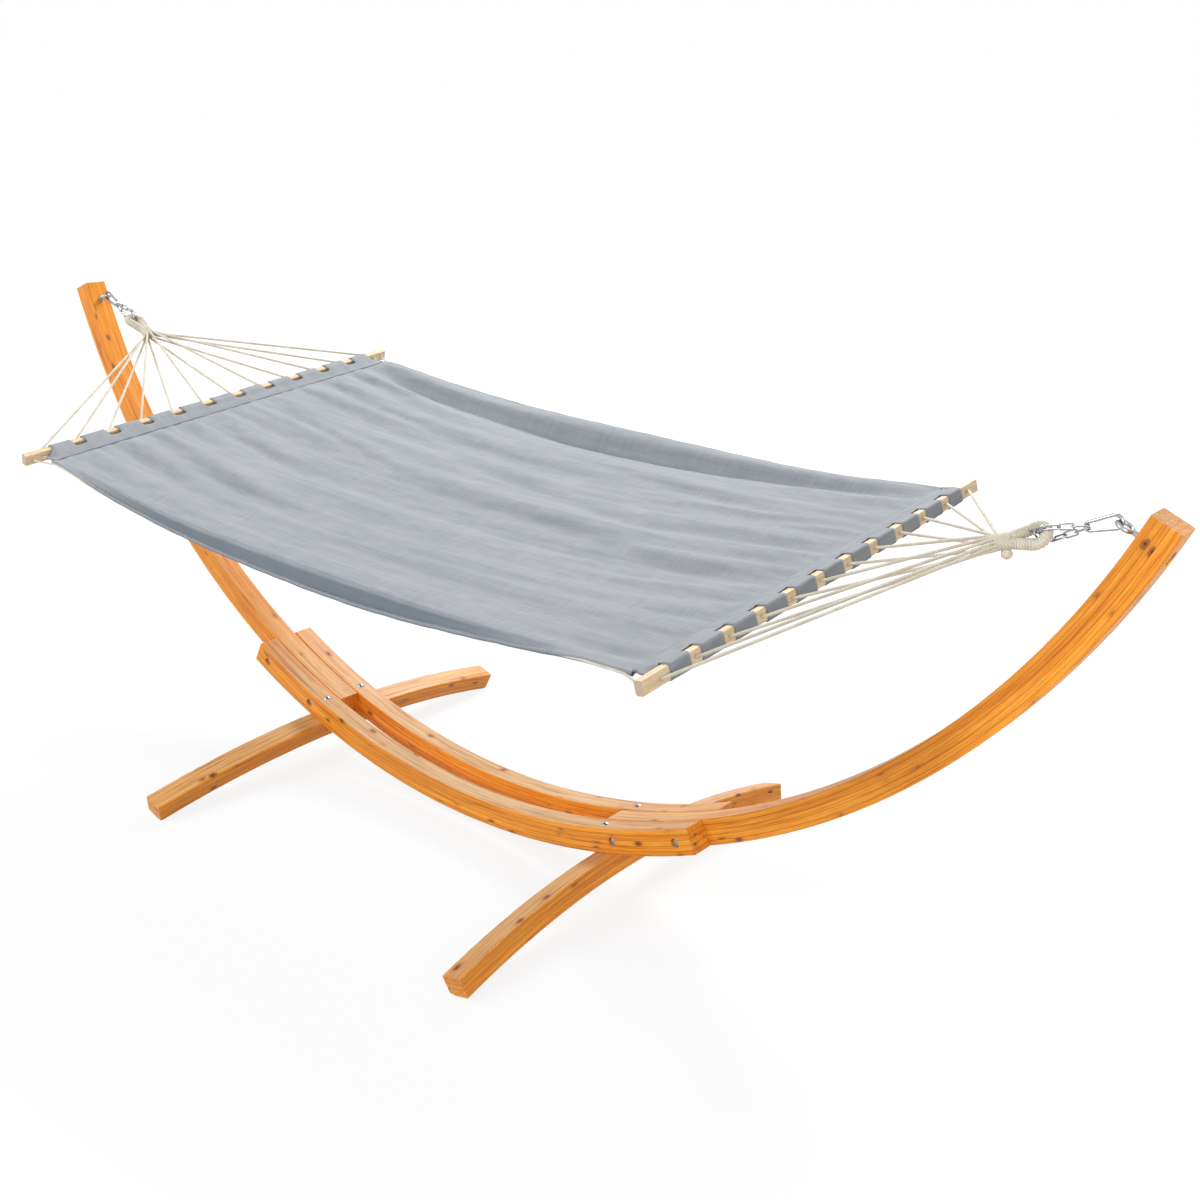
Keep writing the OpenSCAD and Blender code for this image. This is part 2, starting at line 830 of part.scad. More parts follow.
module canvas()
    color(grey)
        at_bed() {
            translate([0, 0, -cloth_dip + dip_r])
                sweep(dip_r, -dip_angle, dip_angle)
                    square([cloth_thick, 2 * hem_y - hem_cord - 2 * hem_gap - cloth_thick], center = true);
            translate([0, 0, -cloth_dip + dip_r])
                difference() {
                    sweep(dip_r, -dip_angle, dip_angle)
                        for (m = [-1, 1])
                            translate([0, m * hem_y])
                                circle(r = hem_cord / 2 + hem_gap + cloth_thick, $fn = 32);
                    sweep(dip_r, -dip_angle - 1, dip_angle + 1)
                        for (m = [-1, 1])
                            translate([0, m * hem_y])
                                circle(r = hem_cord / 2 + hem_gap, $fn = 32);
                }
            sleeve();
            mirror([1, 0, 0])
                sleeve();
        }

module hem_rope(side)
    color(cotton)
        at_bed() {
            translate([0, side * hem_y, -cloth_dip + dip_r])
                sweep(dip_r, -dip_angle, dip_angle)
                    circle(r = hem_cord / 2, $fn = 32);
            for (m = [-1, 1]) {
                end = [m * seam_x, side * hem_y, seam_z];
                hole = [m * (bar_x - (bar_thick / 2) * cos(bar_lean)), side * hem_pin,
                    -(bar_thick / 2) * sin(bar_lean)];
                deep = [m * (bar_x - (bar_thick / 2 - 8) * cos(bar_lean)), side * hem_pin,
                    -(bar_thick / 2 - 8) * sin(bar_lean)];
                out = hole + (hole - deep) * 0.5;
                translate(end)
                    sphere(r = hem_cord / 2 + 0.1);
                rod(end, out, hem_cord / 2);
                translate(out)
                    sphere(r = hem_cord / 2 + 0.1);
                rod(out, deep, hem_cord / 2);
            }
        }

// ---- parts ----

rail(-1);  // rail_near
rail(1);  // rail_far
arm(-1);  // arm_left
arm(1);  // arm_right
foot(-1);  // foot_left
foot(1);  // foot_right
clamp_bolts(-1);  // clamp_bolts_left
clamp_bolts(1);  // clamp_bolts_right
clamp_washers(-1);  // clamp_washers_left
clamp_washers(1);  // clamp_washers_right
clamp_nuts(-1);  // clamp_nuts_left
clamp_nuts(1);  // clamp_nuts_right
foot_bolts(-1);  // foot_bolts_left
foot_bolts(1);  // foot_bolts_right
foot_washers(-1);  // foot_washers_left
foot_washers(1);  // foot_washers_right
foot_nuts(-1);  // foot_nuts_left
foot_nuts(1);  // foot_nuts_right
eye_bolt(-1);  // eye_bolt_left
eye_bolt(1);  // eye_bolt_right
eye_washer(-1);  // eye_washer_left
eye_washer(1);  // eye_washer_right
eye_nut(-1);  // eye_nut_left
eye_nut(1);  // eye_nut_right
snap_hook(-1);  // snap_hook_left
snap_hook(1);  // snap_hook_right
gate(-1);  // gate_left
gate(1);  // gate_right
gate_pins(-1);  // gate_pin_left
gate_pins(1);  // gate_pin_right
gate_spring(-1);  // gate_spring_left
gate_spring(1);  // gate_spring_right
chain(-1, 0);  // chain_left
chain(1, right_turn);  // chain_right
rope_eye(-1, 0);  // rope_eye_left
rope_eye(1, right_turn);  // rope_eye_right
whipping_wrap(-1, 0);  // whipping_left
whipping_wrap(1, right_turn);  // whipping_right
seizing(-1, 0);  // seizing_left
seizing(1, right_turn);  // seizing_right
cords(-1);  // cords_left
cords(1);  // cords_right
spreader_bar(-1);  // spreader_bar_left
spreader_bar(1);  // spreader_bar_right
cord_knots(-1);  // cord_knots_left
cord_knots(1);  // cord_knots_right
canvas();
hem_rope(-1);  // hem_cord_near
hem_rope(1);  // hem_cord_far
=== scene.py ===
"""A canvas hammock with spreader bars, hung between the two arms of an arched larch stand.

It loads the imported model, gives the wooden and steel pieces their finishes, and makes the
cords, the wound rope eyes and the canvas anew. All lengths are in metres.
"""
import math

import bpy
import numpy as np
from mathutils import Matrix


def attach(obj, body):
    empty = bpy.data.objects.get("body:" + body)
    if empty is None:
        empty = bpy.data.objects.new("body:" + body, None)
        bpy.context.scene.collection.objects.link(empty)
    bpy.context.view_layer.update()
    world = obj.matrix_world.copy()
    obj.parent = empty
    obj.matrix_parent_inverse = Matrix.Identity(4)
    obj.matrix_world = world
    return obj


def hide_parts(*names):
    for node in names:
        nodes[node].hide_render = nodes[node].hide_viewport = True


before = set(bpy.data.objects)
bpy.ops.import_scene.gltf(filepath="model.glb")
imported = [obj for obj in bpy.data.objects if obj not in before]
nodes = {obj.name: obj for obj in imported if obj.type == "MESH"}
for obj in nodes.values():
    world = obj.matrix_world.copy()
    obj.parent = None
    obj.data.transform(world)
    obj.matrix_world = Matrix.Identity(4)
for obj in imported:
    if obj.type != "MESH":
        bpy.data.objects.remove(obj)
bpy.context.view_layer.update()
SIDES = (("left", -1), ("right", 1))

# ---- camera, floor and light -------------------------------------------------------------
# A view from above the front right corner, on a white studio floor. The strongest lamp is high
# behind, so folds read; weaker ones at the front left and right light the wood.

LENS = 42.74
CAMERA_PLACE = (2.25991, -2.25530, 1.76434)
CAMERA_RIGHT = (0.76154, 0.64713, 0.03565)
CAMERA_UP = (-0.25199, 0.24496, 0.93621)
CAMERA_FORWARD = (-0.59712, 0.72195, -0.34962)
FLOOR_HALF = 30.0
FLOOR_NEAR = 1.2
FLOOR_FAR = 3.2


def new_object(name, data):
    """Puts data into the scene as an object of that name."""
    thing = bpy.data.objects.new(name, data)
    bpy.context.scene.collection.objects.link(thing)
    return thing


def set_camera():
    """The camera's own axes are the columns right, up and backwards of its matrix."""
    lens = bpy.data.cameras.new("camera")
    lens.lens = LENS
    lens.sensor_width = 36
    lens.sensor_fit = "HORIZONTAL"
    lens.clip_end = 200
    eye = new_object("camera", lens)
    back = [-v for v in CAMERA_FORWARD]
    turn = Matrix((CAMERA_RIGHT, CAMERA_UP, back)).transposed()
    eye.matrix_world = Matrix.Translation(CAMERA_PLACE) @ turn.to_4x4()
    bpy.context.scene.camera = eye


def set_lamp(name, place, aim, size, power):
    """A square area lamp at place, turned so that it shines at aim."""
    lamp = bpy.data.lights.new(name, "AREA")
    lamp.shape = "SQUARE"
    lamp.size = size
    lamp.energy = power
    thing = new_object(name, lamp)
    away = np.array(place, float) - np.array(aim, float)
    away /= np.linalg.norm(away)
    side = np.cross((0.0, 0.001, 1.0), away)
    side /= np.linalg.norm(side)
    turn = Matrix((side, np.cross(away, side), away)).transposed()
    thing.matrix_world = Matrix.Translation(place) @ turn.to_4x4()


def seen_directly(tree):
    """Is Camera, Glossy or Transmission Ray, added and held to 1."""
    path = tree.nodes.new("ShaderNodeLightPath")
    first = tree.nodes.new("ShaderNodeMath")
    tree.links.new(path.outputs["Is Camera Ray"], first.inputs[0])
    tree.links.new(path.outputs["Is Glossy Ray"], first.inputs[1])
    both = tree.nodes.new("ShaderNodeMath")
    both.use_clamp = True
    tree.links.new(first.outputs[0], both.inputs[0])
    tree.links.new(path.outputs["Is Transmission Ray"], both.inputs[1])
    return both.outputs[0]


def set_world(ambient):
    """Dim even light for the object, and plain white where the world itself is seen."""
    world = bpy.data.worlds.new("studio")
    bpy.context.scene.world = world
    world.use_nodes = True
    tree = world.node_tree
    tree.nodes.clear()
    dim = tree.nodes.new("ShaderNodeBackground")
    dim.inputs["Strength"].default_value = ambient
    white = tree.nodes.new("ShaderNodeBackground")
    white.inputs["Strength"].default_value = 1.0
    for ground in (dim, white):
        ground.inputs["Color"].default_value = (1, 1, 1, 1)
    mix = tree.nodes.new("ShaderNodeMixShader")
    tree.links.new(seen_directly(tree), mix.inputs[0])
    tree.links.new(dim.outputs[0], mix.inputs[1])
    tree.links.new(white.outputs[0], mix.inputs[2])
    out = tree.nodes.new("ShaderNodeOutputWorld")
    tree.links.new(mix.outputs[0], out.inputs[0])


def set_floor(glow):
    """A wide matt floor at z = 0. Seen directly it glows, by the share glow as far as FLOOR_NEAR
    and wholly from FLOOR_FAR out, so it reads white but keeps the shadow under the object."""
    h = FLOOR_HALF
    mesh = bpy.data.meshes.new("floor")
    mesh.from_pydata([(-h, -h, 0), (h, -h, 0), (h, h, 0), (-h, h, 0)], [], [(0, 1, 2, 3)])
    floor = new_object("floor", mesh)
    paint = bpy.data.materials.new("floor")
    paint.use_nodes = True
    tree = paint.node_tree
    tree.nodes.clear()
    matt = tree.nodes.new("ShaderNodeBsdfDiffuse")
    matt.inputs["Color"].default_value = (0.5, 0.5, 0.5, 1)
    light = tree.nodes.new("ShaderNodeEmission")
    light.inputs["Strength"].default_value = 1.15
    away = tree.nodes.new("ShaderNodeVectorMath")
    away.operation = "LENGTH"
    tree.links.new(tree.nodes.new("ShaderNodeTexCoord").outputs["Object"], away.inputs[0])
    rise = tree.nodes.new("ShaderNodeMapRange")
    for slot, value in zip(rise.inputs[1:5], (FLOOR_NEAR, FLOOR_FAR, glow, 1.0)):
        slot.default_value = value
    tree.links.new(away.outputs["Value"], rise.inputs["Value"])
    share = tree.nodes.new("ShaderNodeMath")
    share.operation = "MULTIPLY"
    tree.links.new(rise.outputs[0], share.inputs[1])
    tree.links.new(seen_directly(tree), share.inputs[0])
    mix = tree.nodes.new("ShaderNodeMixShader")
    tree.links.new(share.outputs[0], mix.inputs[0])
    tree.links.new(matt.outputs[0], mix.inputs[1])
    tree.links.new(light.outputs[0], mix.inputs[2])
    out = tree.nodes.new("ShaderNodeOutputMaterial")
    tree.links.new(mix.outputs[0], out.inputs[0])
    mesh.materials.append(paint)


set_camera()
set_world(0.54)
set_lamp("behind", (-1.0, 4.0, 4.2), (0, 0, 0.6), 2.0, 310)
set_lamp("front_left", (-2.2, -4.4, 3.4), (0, 0, 0.4), 2.4, 165)
set_lamp("front_right", (4.4, -3.0, 2.2), (0, 0, 0.4), 2.2, 92)
set_floor(0.74)
bpy.context.scene.view_settings.view_transform = "Standard"

# ---- suspension cords --------------------------------------------------------------------
# Twelve laid cotton cords at each end run from a stopper knot behind the bar, through a hole
# in it, to the seizing of the rope eye. They are cut from one line and pulled taut.

CORD = 0.006
CORD_LAY = 0.019
CORDS = 12
BAR_LENGTH = 1.161
BAR_THICK = 0.018
BAR_TALL = 0.028
BAR_MARGIN = 0.046
BAR_LEAN = math.radians(14)
BED_SLOPE = math.radians(5.9)
HANG_X = 1.483951
HANG_Z = 1.102378
HANG_RUN = 0.523
HANG_DROP = 0.221
PULL = math.atan2(HANG_DROP, HANG_RUN)
BAR_X = HANG_X - HANG_RUN
BAR_Z = HANG_Z - HANG_DROP
ROOT_REACH = 0.2169
ROOT_RING = 0.0125
ROOT_DEPTH = 0.016
CORD_BEND = 0.0055
CORD_STEP = 0.0024
CORD_Y = -BAR_LENGTH / 2 + BAR_MARGIN + np.arange(CORDS) * (BAR_LENGTH - 2 * BAR_MARGIN) / (CORDS - 1)


def on_bed(side, x, y, z):
    """From the bed's frame, x from mid length to this end and z above the bars, to the row's frame."""
    x, y, z = np.broadcast_arrays(x, y, z)
    slope_y = y * math.cos(BED_SLOPE) - z * math.sin(BED_SLOPE)
    slope_z = y * math.sin(BED_SLOPE) + z * math.cos(BED_SLOPE)
    return np.stack([side * x, slope_y, BAR_Z + slope_z], -1)


def on_bar(side, a, y, b):
    """From a bar's frame to the row's: a towards the middle of the bed, b along its height."""
    x = BAR_X - a * math.cos(BAR_LEAN) - b * math.sin(BAR_LEAN)
    z = -a * math.sin(BAR_LEAN) + b * math.cos(BAR_LEAN)
    return on_bed(side, x, y, z)


def on_pull(side, s, y, v):
    """From the frame of the pull to the row's: s down the line of pull, v square to it."""
    s, y, v = np.broadcast_arrays(s, y, v)
    x = HANG_X - s * math.cos(PULL) - v * math.sin(PULL)
    z = HANG_Z - s * math.sin(PULL) + v * math.cos(PULL)
    return np.stack([side * x, y, z], -1)


def rounded_path(corners, trim, step):
    """Straight runs between the corners, each corner cut at trim and bridged by a parabola.

    The parabola from p to q with its control point at the corner c is
    (1-t)^2 p + 2t(1-t) c + t^2 q. The points are then spread evenly, step apart."""
    corners = [np.asarray(c, float) for c in corners]
    runs = [corners[0][None]]
    for before, corner, after in zip(corners, corners[1:], corners[2:]):
        p = corner + (before - corner) / np.linalg.norm(before - corner) * trim
        q = corner + (after - corner) / np.linalg.norm(after - corner) * trim
        t = np.linspace(0, 1, 9)[:, None]
        runs.append((1 - t) ** 2 * p + 2 * t * (1 - t) * corner + t ** 2 * q)
    runs.append(corners[-1][None])
    points = np.concatenate(runs)
    along = np.concatenate([[0], np.cumsum(np.linalg.norm(np.diff(points, axis=0), axis=1))])
    even = np.linspace(0, along[-1], max(8, int(along[-1] / step)))
    return np.stack([np.interp(even, along, points[:, i]) for i in range(3)], -1)


def tube_grid(path, radius, sides, up):
    """A tube round a path: at each point a ring in the plane square to the path.

    up is any direction not along the path. radius(angle, distance) gives the ring's radius."""
    along = np.gradient(path, axis=0)
    along /= np.linalg.norm(along, axis=1, keepdims=True)
    across = np.cross(along, np.broadcast_to(up, along.shape))
    across /= np.linalg.norm(across, axis=1, keepdims=True)
    over = np.cross(across, along)
    distance = np.concatenate([[0], np.cumsum(np.linalg.norm(np.diff(path, axis=0), axis=1))])
    angle = np.arange(sides) * 2 * np.pi / sides
    r = radius(angle[None, :], distance[:, None])
    return (path[:, None] + (r * np.cos(angle))[..., None] * across[:, None]
            + (r * np.sin(angle))[..., None] * over[:, None])


def laid(radius, lay, strands=3, depth=0.13):
    """A laid cord: its radius swells at each strand, and the strands turn once every lay."""
    def swell(angle, distance):
        turn = strands / 2 * angle - strands * np.pi * distance / lay
        return radius * (1 - depth + 1.55 * depth * np.abs(np.cos(turn)))
    return swell


def tube_mesh(name, grids):
    """One object from tubes, each a grid of rings that closes on itself, with its ends capped.

    Its UV map runs once round the tube in u and gives the distance in metres in v."""
    points, faces, uvs, start = [], [], [], 0
    for grid in grids:
        rings, sides = grid.shape[:2]
        i, j = np.meshgrid(np.arange(rings - 1), np.arange(sides), indexing="ij")
        k = (j + 1) % sides
        quads = np.stack([i * sides + j, i * sides + k, (i + 1) * sides + k, (i + 1) * sides + j], -1)
        middle = grid.mean(1)
        far = np.concatenate([[0], np.cumsum(np.linalg.norm(np.diff(middle, axis=0), axis=1))])
        corner_v = np.stack([far[i], far[i], far[i + 1], far[i + 1]], -1)
        corner_u = np.stack([j, j + 1, j + 1, j], -1) / sides
        uvs.append(np.stack([corner_u, corner_v], -1).reshape(-1, 2))
        faces += (quads.reshape(-1, 4) + start).tolist()
        faces.append((np.arange(sides)[::-1] + start).tolist())
        faces.append((np.arange(sides) + start + (rings - 1) * sides).tolist())
        uvs.append(np.zeros((2 * sides, 2)))
        points.append(grid.reshape(-1, 3))
        start += rings * sides
    mesh = bpy.data.meshes.new(name)
    mesh.from_pydata(np.concatenate(points).tolist(), [], faces)
    mesh.uv_layers.new(name="UVMap").data.foreach_set("uv", np.concatenate(uvs).ravel())
    mesh.shade_smooth()
    return new_object(name, mesh)


def shader(name, colour, roughness):
    """A new material with a Principled shader, returned with its tree and its shader."""
    material = bpy.data.materials.new(name)
    material.use_nodes = True
    tree = material.node_tree
    surface = tree.nodes["Principled BSDF"]
    surface.inputs["Base Color"].default_value = (*colour, 1)
    surface.inputs["Roughness"].default_value = roughness
    return material, tree, surface


def noise(tree, vector, scale, detail=3.0, roughness=0.55, stretch=(1, 1, 1)):
    """The value of a noise whose pattern is squeezed by stretch along each axis."""
    squeeze = tree.nodes.new("ShaderNodeMapping")
    squeeze.inputs["Scale"].default_value = stretch
    tree.links.new(vector, squeeze.inputs["Vector"])
    texture = tree.nodes.new("ShaderNodeTexNoise")
    texture.inputs["Scale"].default_value = scale
    texture.inputs["Detail"].default_value = detail
    texture.inputs["Roughness"].default_value = roughness
    tree.links.new(squeeze.outputs[0], texture.inputs["Vector"])
    return texture.outputs["Fac"]


def ramp(tree, value, *stops):
    """A colour ramp over (place, colour) stops."""
    node = tree.nodes.new("ShaderNodeValToRGB")
    edge = node.color_ramp.elements
    edge[0].position, edge[0].color = stops[0][0], (*stops[0][1], 1)
    edge[1].position, edge[1].color = stops[-1][0], (*stops[-1][1], 1)
    for place, colour in stops[1:-1]:
        edge.new(place).color = (*colour, 1)
    tree.links.new(value, node.inputs[0])
    return node.outputs["Color"]


def math_node(tree, operation, first, second=None, third=None):
    """A Math node on sockets or numbers."""
    node = tree.nodes.new("ShaderNodeMath")
    node.operation = operation
    for slot, value in zip(node.inputs, (first, second, third)):
        if value is None:
            continue
        if isinstance(value, (int, float)):
            slot.default_value = value
        else:
            tree.links.new(value, slot)
    return node.outputs[0]


def blend_colour(tree, factor, first, second, mode="MIX"):
    """A Mix node on two colours, each a socket or a plain colour."""
    node = tree.nodes.new("ShaderNodeMix")
    node.data_type = "RGBA"
    node.blend_type = mode
    for slot, value in ((node.inputs[0], factor), (node.inputs[6], first), (node.inputs[7], second)):
        if isinstance(value, tuple):
            slot.default_value = (*value, 1)
        elif isinstance(value, float):
            slot.default_value = value
        else:
            tree.links.new(value, slot)
    return node.outputs[2]


def add_bump(tree, surface, height, strength, distance):
    """Bump on the shader's normal."""
    bump = tree.nodes.new("ShaderNodeBump")
    bump.inputs["Strength"].default_value = strength
    bump.inputs["Distance"].default_value = distance
    tree.links.new(height, bump.inputs["Height"])
    tree.links.new(bump.outputs[0], surface.inputs["Normal"])


def dot_with(tree, vector, axis):
    """The length of vector along axis."""
    node = tree.nodes.new("ShaderNodeVectorMath")
    node.operation = "DOT_PRODUCT"
    node.inputs[1].default_value = axis
    tree.links.new(vector, node.inputs[0])
    return node.outputs["Value"]


def ramp_value(tree, value, low, high):
    """value as a share of the way from low to high, held between 0 and 1."""
    node = tree.nodes.new("ShaderNodeMapRange")
    node.inputs["From Min"].default_value = low
    node.inputs["From Max"].default_value = high
    tree.links.new(value, node.inputs["Value"])
    return node.outputs[0]


def own_place(tree):
    """The piece's own Object coordinates."""
    return tree.nodes.new("ShaderNodeTexCoord").outputs["Object"]


def own_uv(tree):
    """The piece's own UV map."""
    return tree.nodes.new("ShaderNodeTexCoord").outputs["UV"]


def cotton():
    """Cream cotton yarn: fine fibres along each strand, and slow changes of shade."""
    material, tree, surface = shader("cotton_cord", (0.80, 0.74, 0.62), 0.85)
    place = own_place(tree)
    fibre = noise(tree, place, 900, 2)
    shade = noise(tree, place, 35, 3)
    tone = ramp(tree, shade, (0.3, (0.60, 0.55, 0.44)), (0.7, (0.74, 0.70, 0.60)))
    worn = ramp(tree, fibre, (0.35, (0.82, 0.80, 0.76)), (0.65, (1.0, 1.0, 1.0)))
    tree.links.new(blend_colour(tree, 1.0, tone, worn, "MULTIPLY"), surface.inputs["Base Color"])
    surface.inputs["Sheen Weight"].default_value = 0.25
    surface.inputs["Specular IOR Level"].default_value = 0.2
    add_bump(tree, surface, fibre, 0.4, 0.0006)
    return material


COTTON = cotton()


def make_cords(name, side):
    """Twelve taut cords at one end, fanned from the bar to a ring on the seizing."""
    k = np.arange(CORDS)
    spot = 2 * np.pi / CORDS * (k // 2 + 0.5)
    ring_y = -ROOT_RING * np.cos(spot)
    ring_v = (2 * (k % 2) - 1) * ROOT_RING * np.sin(spot)
    for i in range(CORDS):
        start = on_bar(side, BAR_THICK / 2 + 0.0004, CORD_Y[i], 0)
        bend = on_bar(side, -BAR_THICK / 2 - 0.8 * CORD, CORD_Y[i], 0)
        root = on_pull(side, ROOT_REACH, ring_y[i], ring_v[i])
        inside = on_pull(side, ROOT_REACH - ROOT_DEPTH, 0.62 * ring_y[i], 0.62 * ring_v[i])
        path = rounded_path([start, bend, root, inside], CORD_BEND, CORD_STEP)
        grid = tube_grid(path, laid(CORD / 2, CORD_LAY), 12, (0.03, 0.02, 1.0))
        piece = tube_mesh(f"cord_{name}_{i + 1:02d}", [grid])
        piece.data.materials.append(COTTON)
        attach(piece, "hammock")
        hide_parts(f"cords_{name}")


for name, side in SIDES:
    make_cords(name, side)

# ---- rope eyes, whipping and seizing -----------------------------------------------------
# Beyond the seizing the cords double back on themselves as one thick eye. It is served with
# thin cotton line from end to end, lashed shut, and finished with a ball knot below.

BUNDLE = 0.0174
WHIPPING = 0.0026
WHIPPING_PITCH = 0.0056
EYE_BEND = 0.0180
EYE_MIDDLE = 0.1429
KNOT_REACH = 0.215
EYE_TURN = {"left": 0.0, "right": math.radians(45)}
SEIZING_TURNS = 6
BALL = 0.0105
BALL_DROP = 0.0112
BALL_BACK = 0.010


def wound(radius, pitch, proud, starts=1):
    """A winding: the radius swells by proud at each turn of line, and climbs one pitch a turn."""
    def swell(angle, distance):
        return radius + proud * np.abs(np.sin(np.pi * distance / pitch - starts * angle / 2))
    return swell


def eye_path(reach, step):
    """The eye's centre line in its own plane: a leg, a round bend and the other leg.

    The legs are the tangents from the seizing to a circle of radius EYE_BEND."""
    tip = KNOT_REACH - EYE_MIDDLE
    touch = math.acos(EYE_BEND / tip)
    angle = np.linspace(touch, 2 * math.pi - touch, 80)
    bend = np.stack([EYE_MIDDLE + EYE_BEND * np.cos(angle), EYE_BEND * np.sin(angle)], -1)
    lean = math.pi / 2 - touch
    end = np.array([reach, (KNOT_REACH - reach) * math.tan(lean)])
    points = np.concatenate([end[None], bend, end[None] * (1, -1)])
    along = np.concatenate([[0], np.cumsum(np.linalg.norm(np.diff(points, axis=0), axis=1))])
    even = np.linspace(0, along[-1], int(along[-1] / step))
    return np.stack([np.interp(even, along, points[:, i]) for i in range(2)], -1)


def knot_path(size, turns=260):
    """A trefoil: it winds twice round its middle while it rises and falls three times."""
    t = np.linspace(0, 2 * np.pi, turns)
    x = np.sin(t) + 2 * np.sin(2 * t)
    y = np.cos(t) - 2 * np.cos(2 * t)
    z = -1.25 * np.sin(3 * t)
    return size * np.stack([x, y, z], -1)


def finish_rope(piece, *stands_for):
    """Cotton that rides on the hammock and takes the place of the plain solids."""
    piece.data.materials.append(COTTON)
    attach(piece, "hammock")
    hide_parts(*stands_for)


def make_rope_eye(name, side):
    """The served eye, its seizing and the ball knot at one end."""
    turn = EYE_TURN[name]
    flat = eye_path(KNOT_REACH - 0.020, 0.00045)

    def raised(s, across, out=0.0):
        return on_pull(side, s, across * math.cos(turn) - out * math.sin(turn),
                       across * math.sin(turn) + out * math.cos(turn))

    normal = raised(0, 0, 1) - raised(0, 0, 0)
    serving = tube_grid(raised(flat[:, 0], flat[:, 1]),
                        wound(BUNDLE / 2 - 0.0004, WHIPPING_PITCH, WHIPPING), 26, normal)
    finish_rope(tube_mesh(f"whipping_{name}_wound", [serving]), f"whipping_{name}", f"rope_eye_{name}")

    s = np.linspace(KNOT_REACH - 0.026, KNOT_REACH + 0.0015, 90)
    lashing = tube_grid(on_pull(side, s, 0 * s, 0 * s),
                        lambda angle, far: lash_radius(angle, far, s[-1] - s[0]), 40, normal)
    down = -BALL_DROP - np.linspace(0, 2 * BALL, 48)
    knot = tube_grid(on_pull(side, KNOT_REACH - BALL_BACK, 0 * down, down), ball_radius, 32, normal)
    finish_rope(tube_mesh(f"seizing_{name}_wound", [lashing, knot]), f"seizing_{name}")


def ball_radius(angle, far):
    """The section of a sphere of radius BALL, with four slanted turns of cord standing proud."""
    section = np.sqrt(np.clip(BALL ** 2 - (far - BALL) ** 2, 1e-7, None))
    turns = np.abs(np.sin(2 * angle + np.pi * far / BALL))
    return section * (0.84 + 0.16 * turns)


def lash_radius(angle, far, length):
    """Six turns of line over the two legs, drawn in at both ends like a barrel."""
    barrel = 0.0128 + 0.0012 * np.sin(np.pi * np.clip(far / length, 0, 1))
    turns = np.abs(np.sin(np.pi * SEIZING_TURNS * far / length - angle / 2))
    return barrel + 0.0016 * turns


for name, side in SIDES:
    make_rope_eye(name, side)

# ---- stopper knots -----------------------------------------------------------------------
# Behind the bar each cord ends in a small overhand knot, hauled tight, which is all that
# holds it in its hole. The knots sit in the canvas sleeve and show only at the notches.

KNOT = 0.013


def make_stoppers(name, side):
    """Twelve small knots on the hidden face of the bar."""
    middles = on_bar(side, BAR_THICK / 2 + KNOT / 2 + 0.0007, CORD_Y, 0)
    shape = knot_path(0.00125, 90)[:-1] * (1, 1, 0.9)
    grids = [tube_grid(shape + m, laid(0.0026, 0.012), 8, (0.11, 0.07, 1)) for m in middles]
    finish_rope(tube_mesh(f"stopper_knots_{name}", grids), f"cord_knots_{name}")


for name, side in SIDES:
    make_stoppers(name, side)

# ---- canvas ------------------------------------------------------------------------------
# One length of blue-grey plain-weave canvas. Each end is folded round its bar and sewn back to
# itself as a sleeve, notched where a cord passes. Each long side is hemmed round a cord.

SEAM_X = 0.9063
SEAM_Z = -0.0061
DIP = 0.042
HEM_Y = 0.5405
HEM_CORD = 0.005
HEM_RADIUS = 0.0043
NOTCH = 0.032
SLEEVE_END = 0.5085
# the cloth reaches FLAP_END to each side; past SLEEVE_END it is a flat flap, off the bar
FLAP_END = 0.5345
# how far inside the bar's centre line the flap ends, and the upper cut of each notch at each end
CLOTH_BACK = 0.0118
NOTCH_BACK = {-1: 0.022, 1: 0.0112}
HEM_DROOP = 0.044
HEM_ROLL = 0.008
HEM_TURN = math.radians(105)
HEM_LEAN = math.radians(15)
EDGE_START = 0.512
EDGE_END = 0.534
SLEEVE_GAP = 0.0012


def hills(x, y, waves):
    """The sum of sine ripples across y. Each has a height, a length, a drift and a phase, and
    its crests wander sideways by drift times a slow sine of x."""
    total = np.zeros(np.broadcast(x, y).shape)
    for height, length, drift, phase in waves:
        wander = drift * np.sin(1.9 * x + phase) + 0.4 * drift * np.sin(4.3 * x - 2 * phase)
        total += height * np.sin(2 * np.pi * (y + wander) / length + phase)
    return total


def dome(x, middle, width):
    """A bell curve."""
    return np.exp(-((x - middle) / width) ** 2)


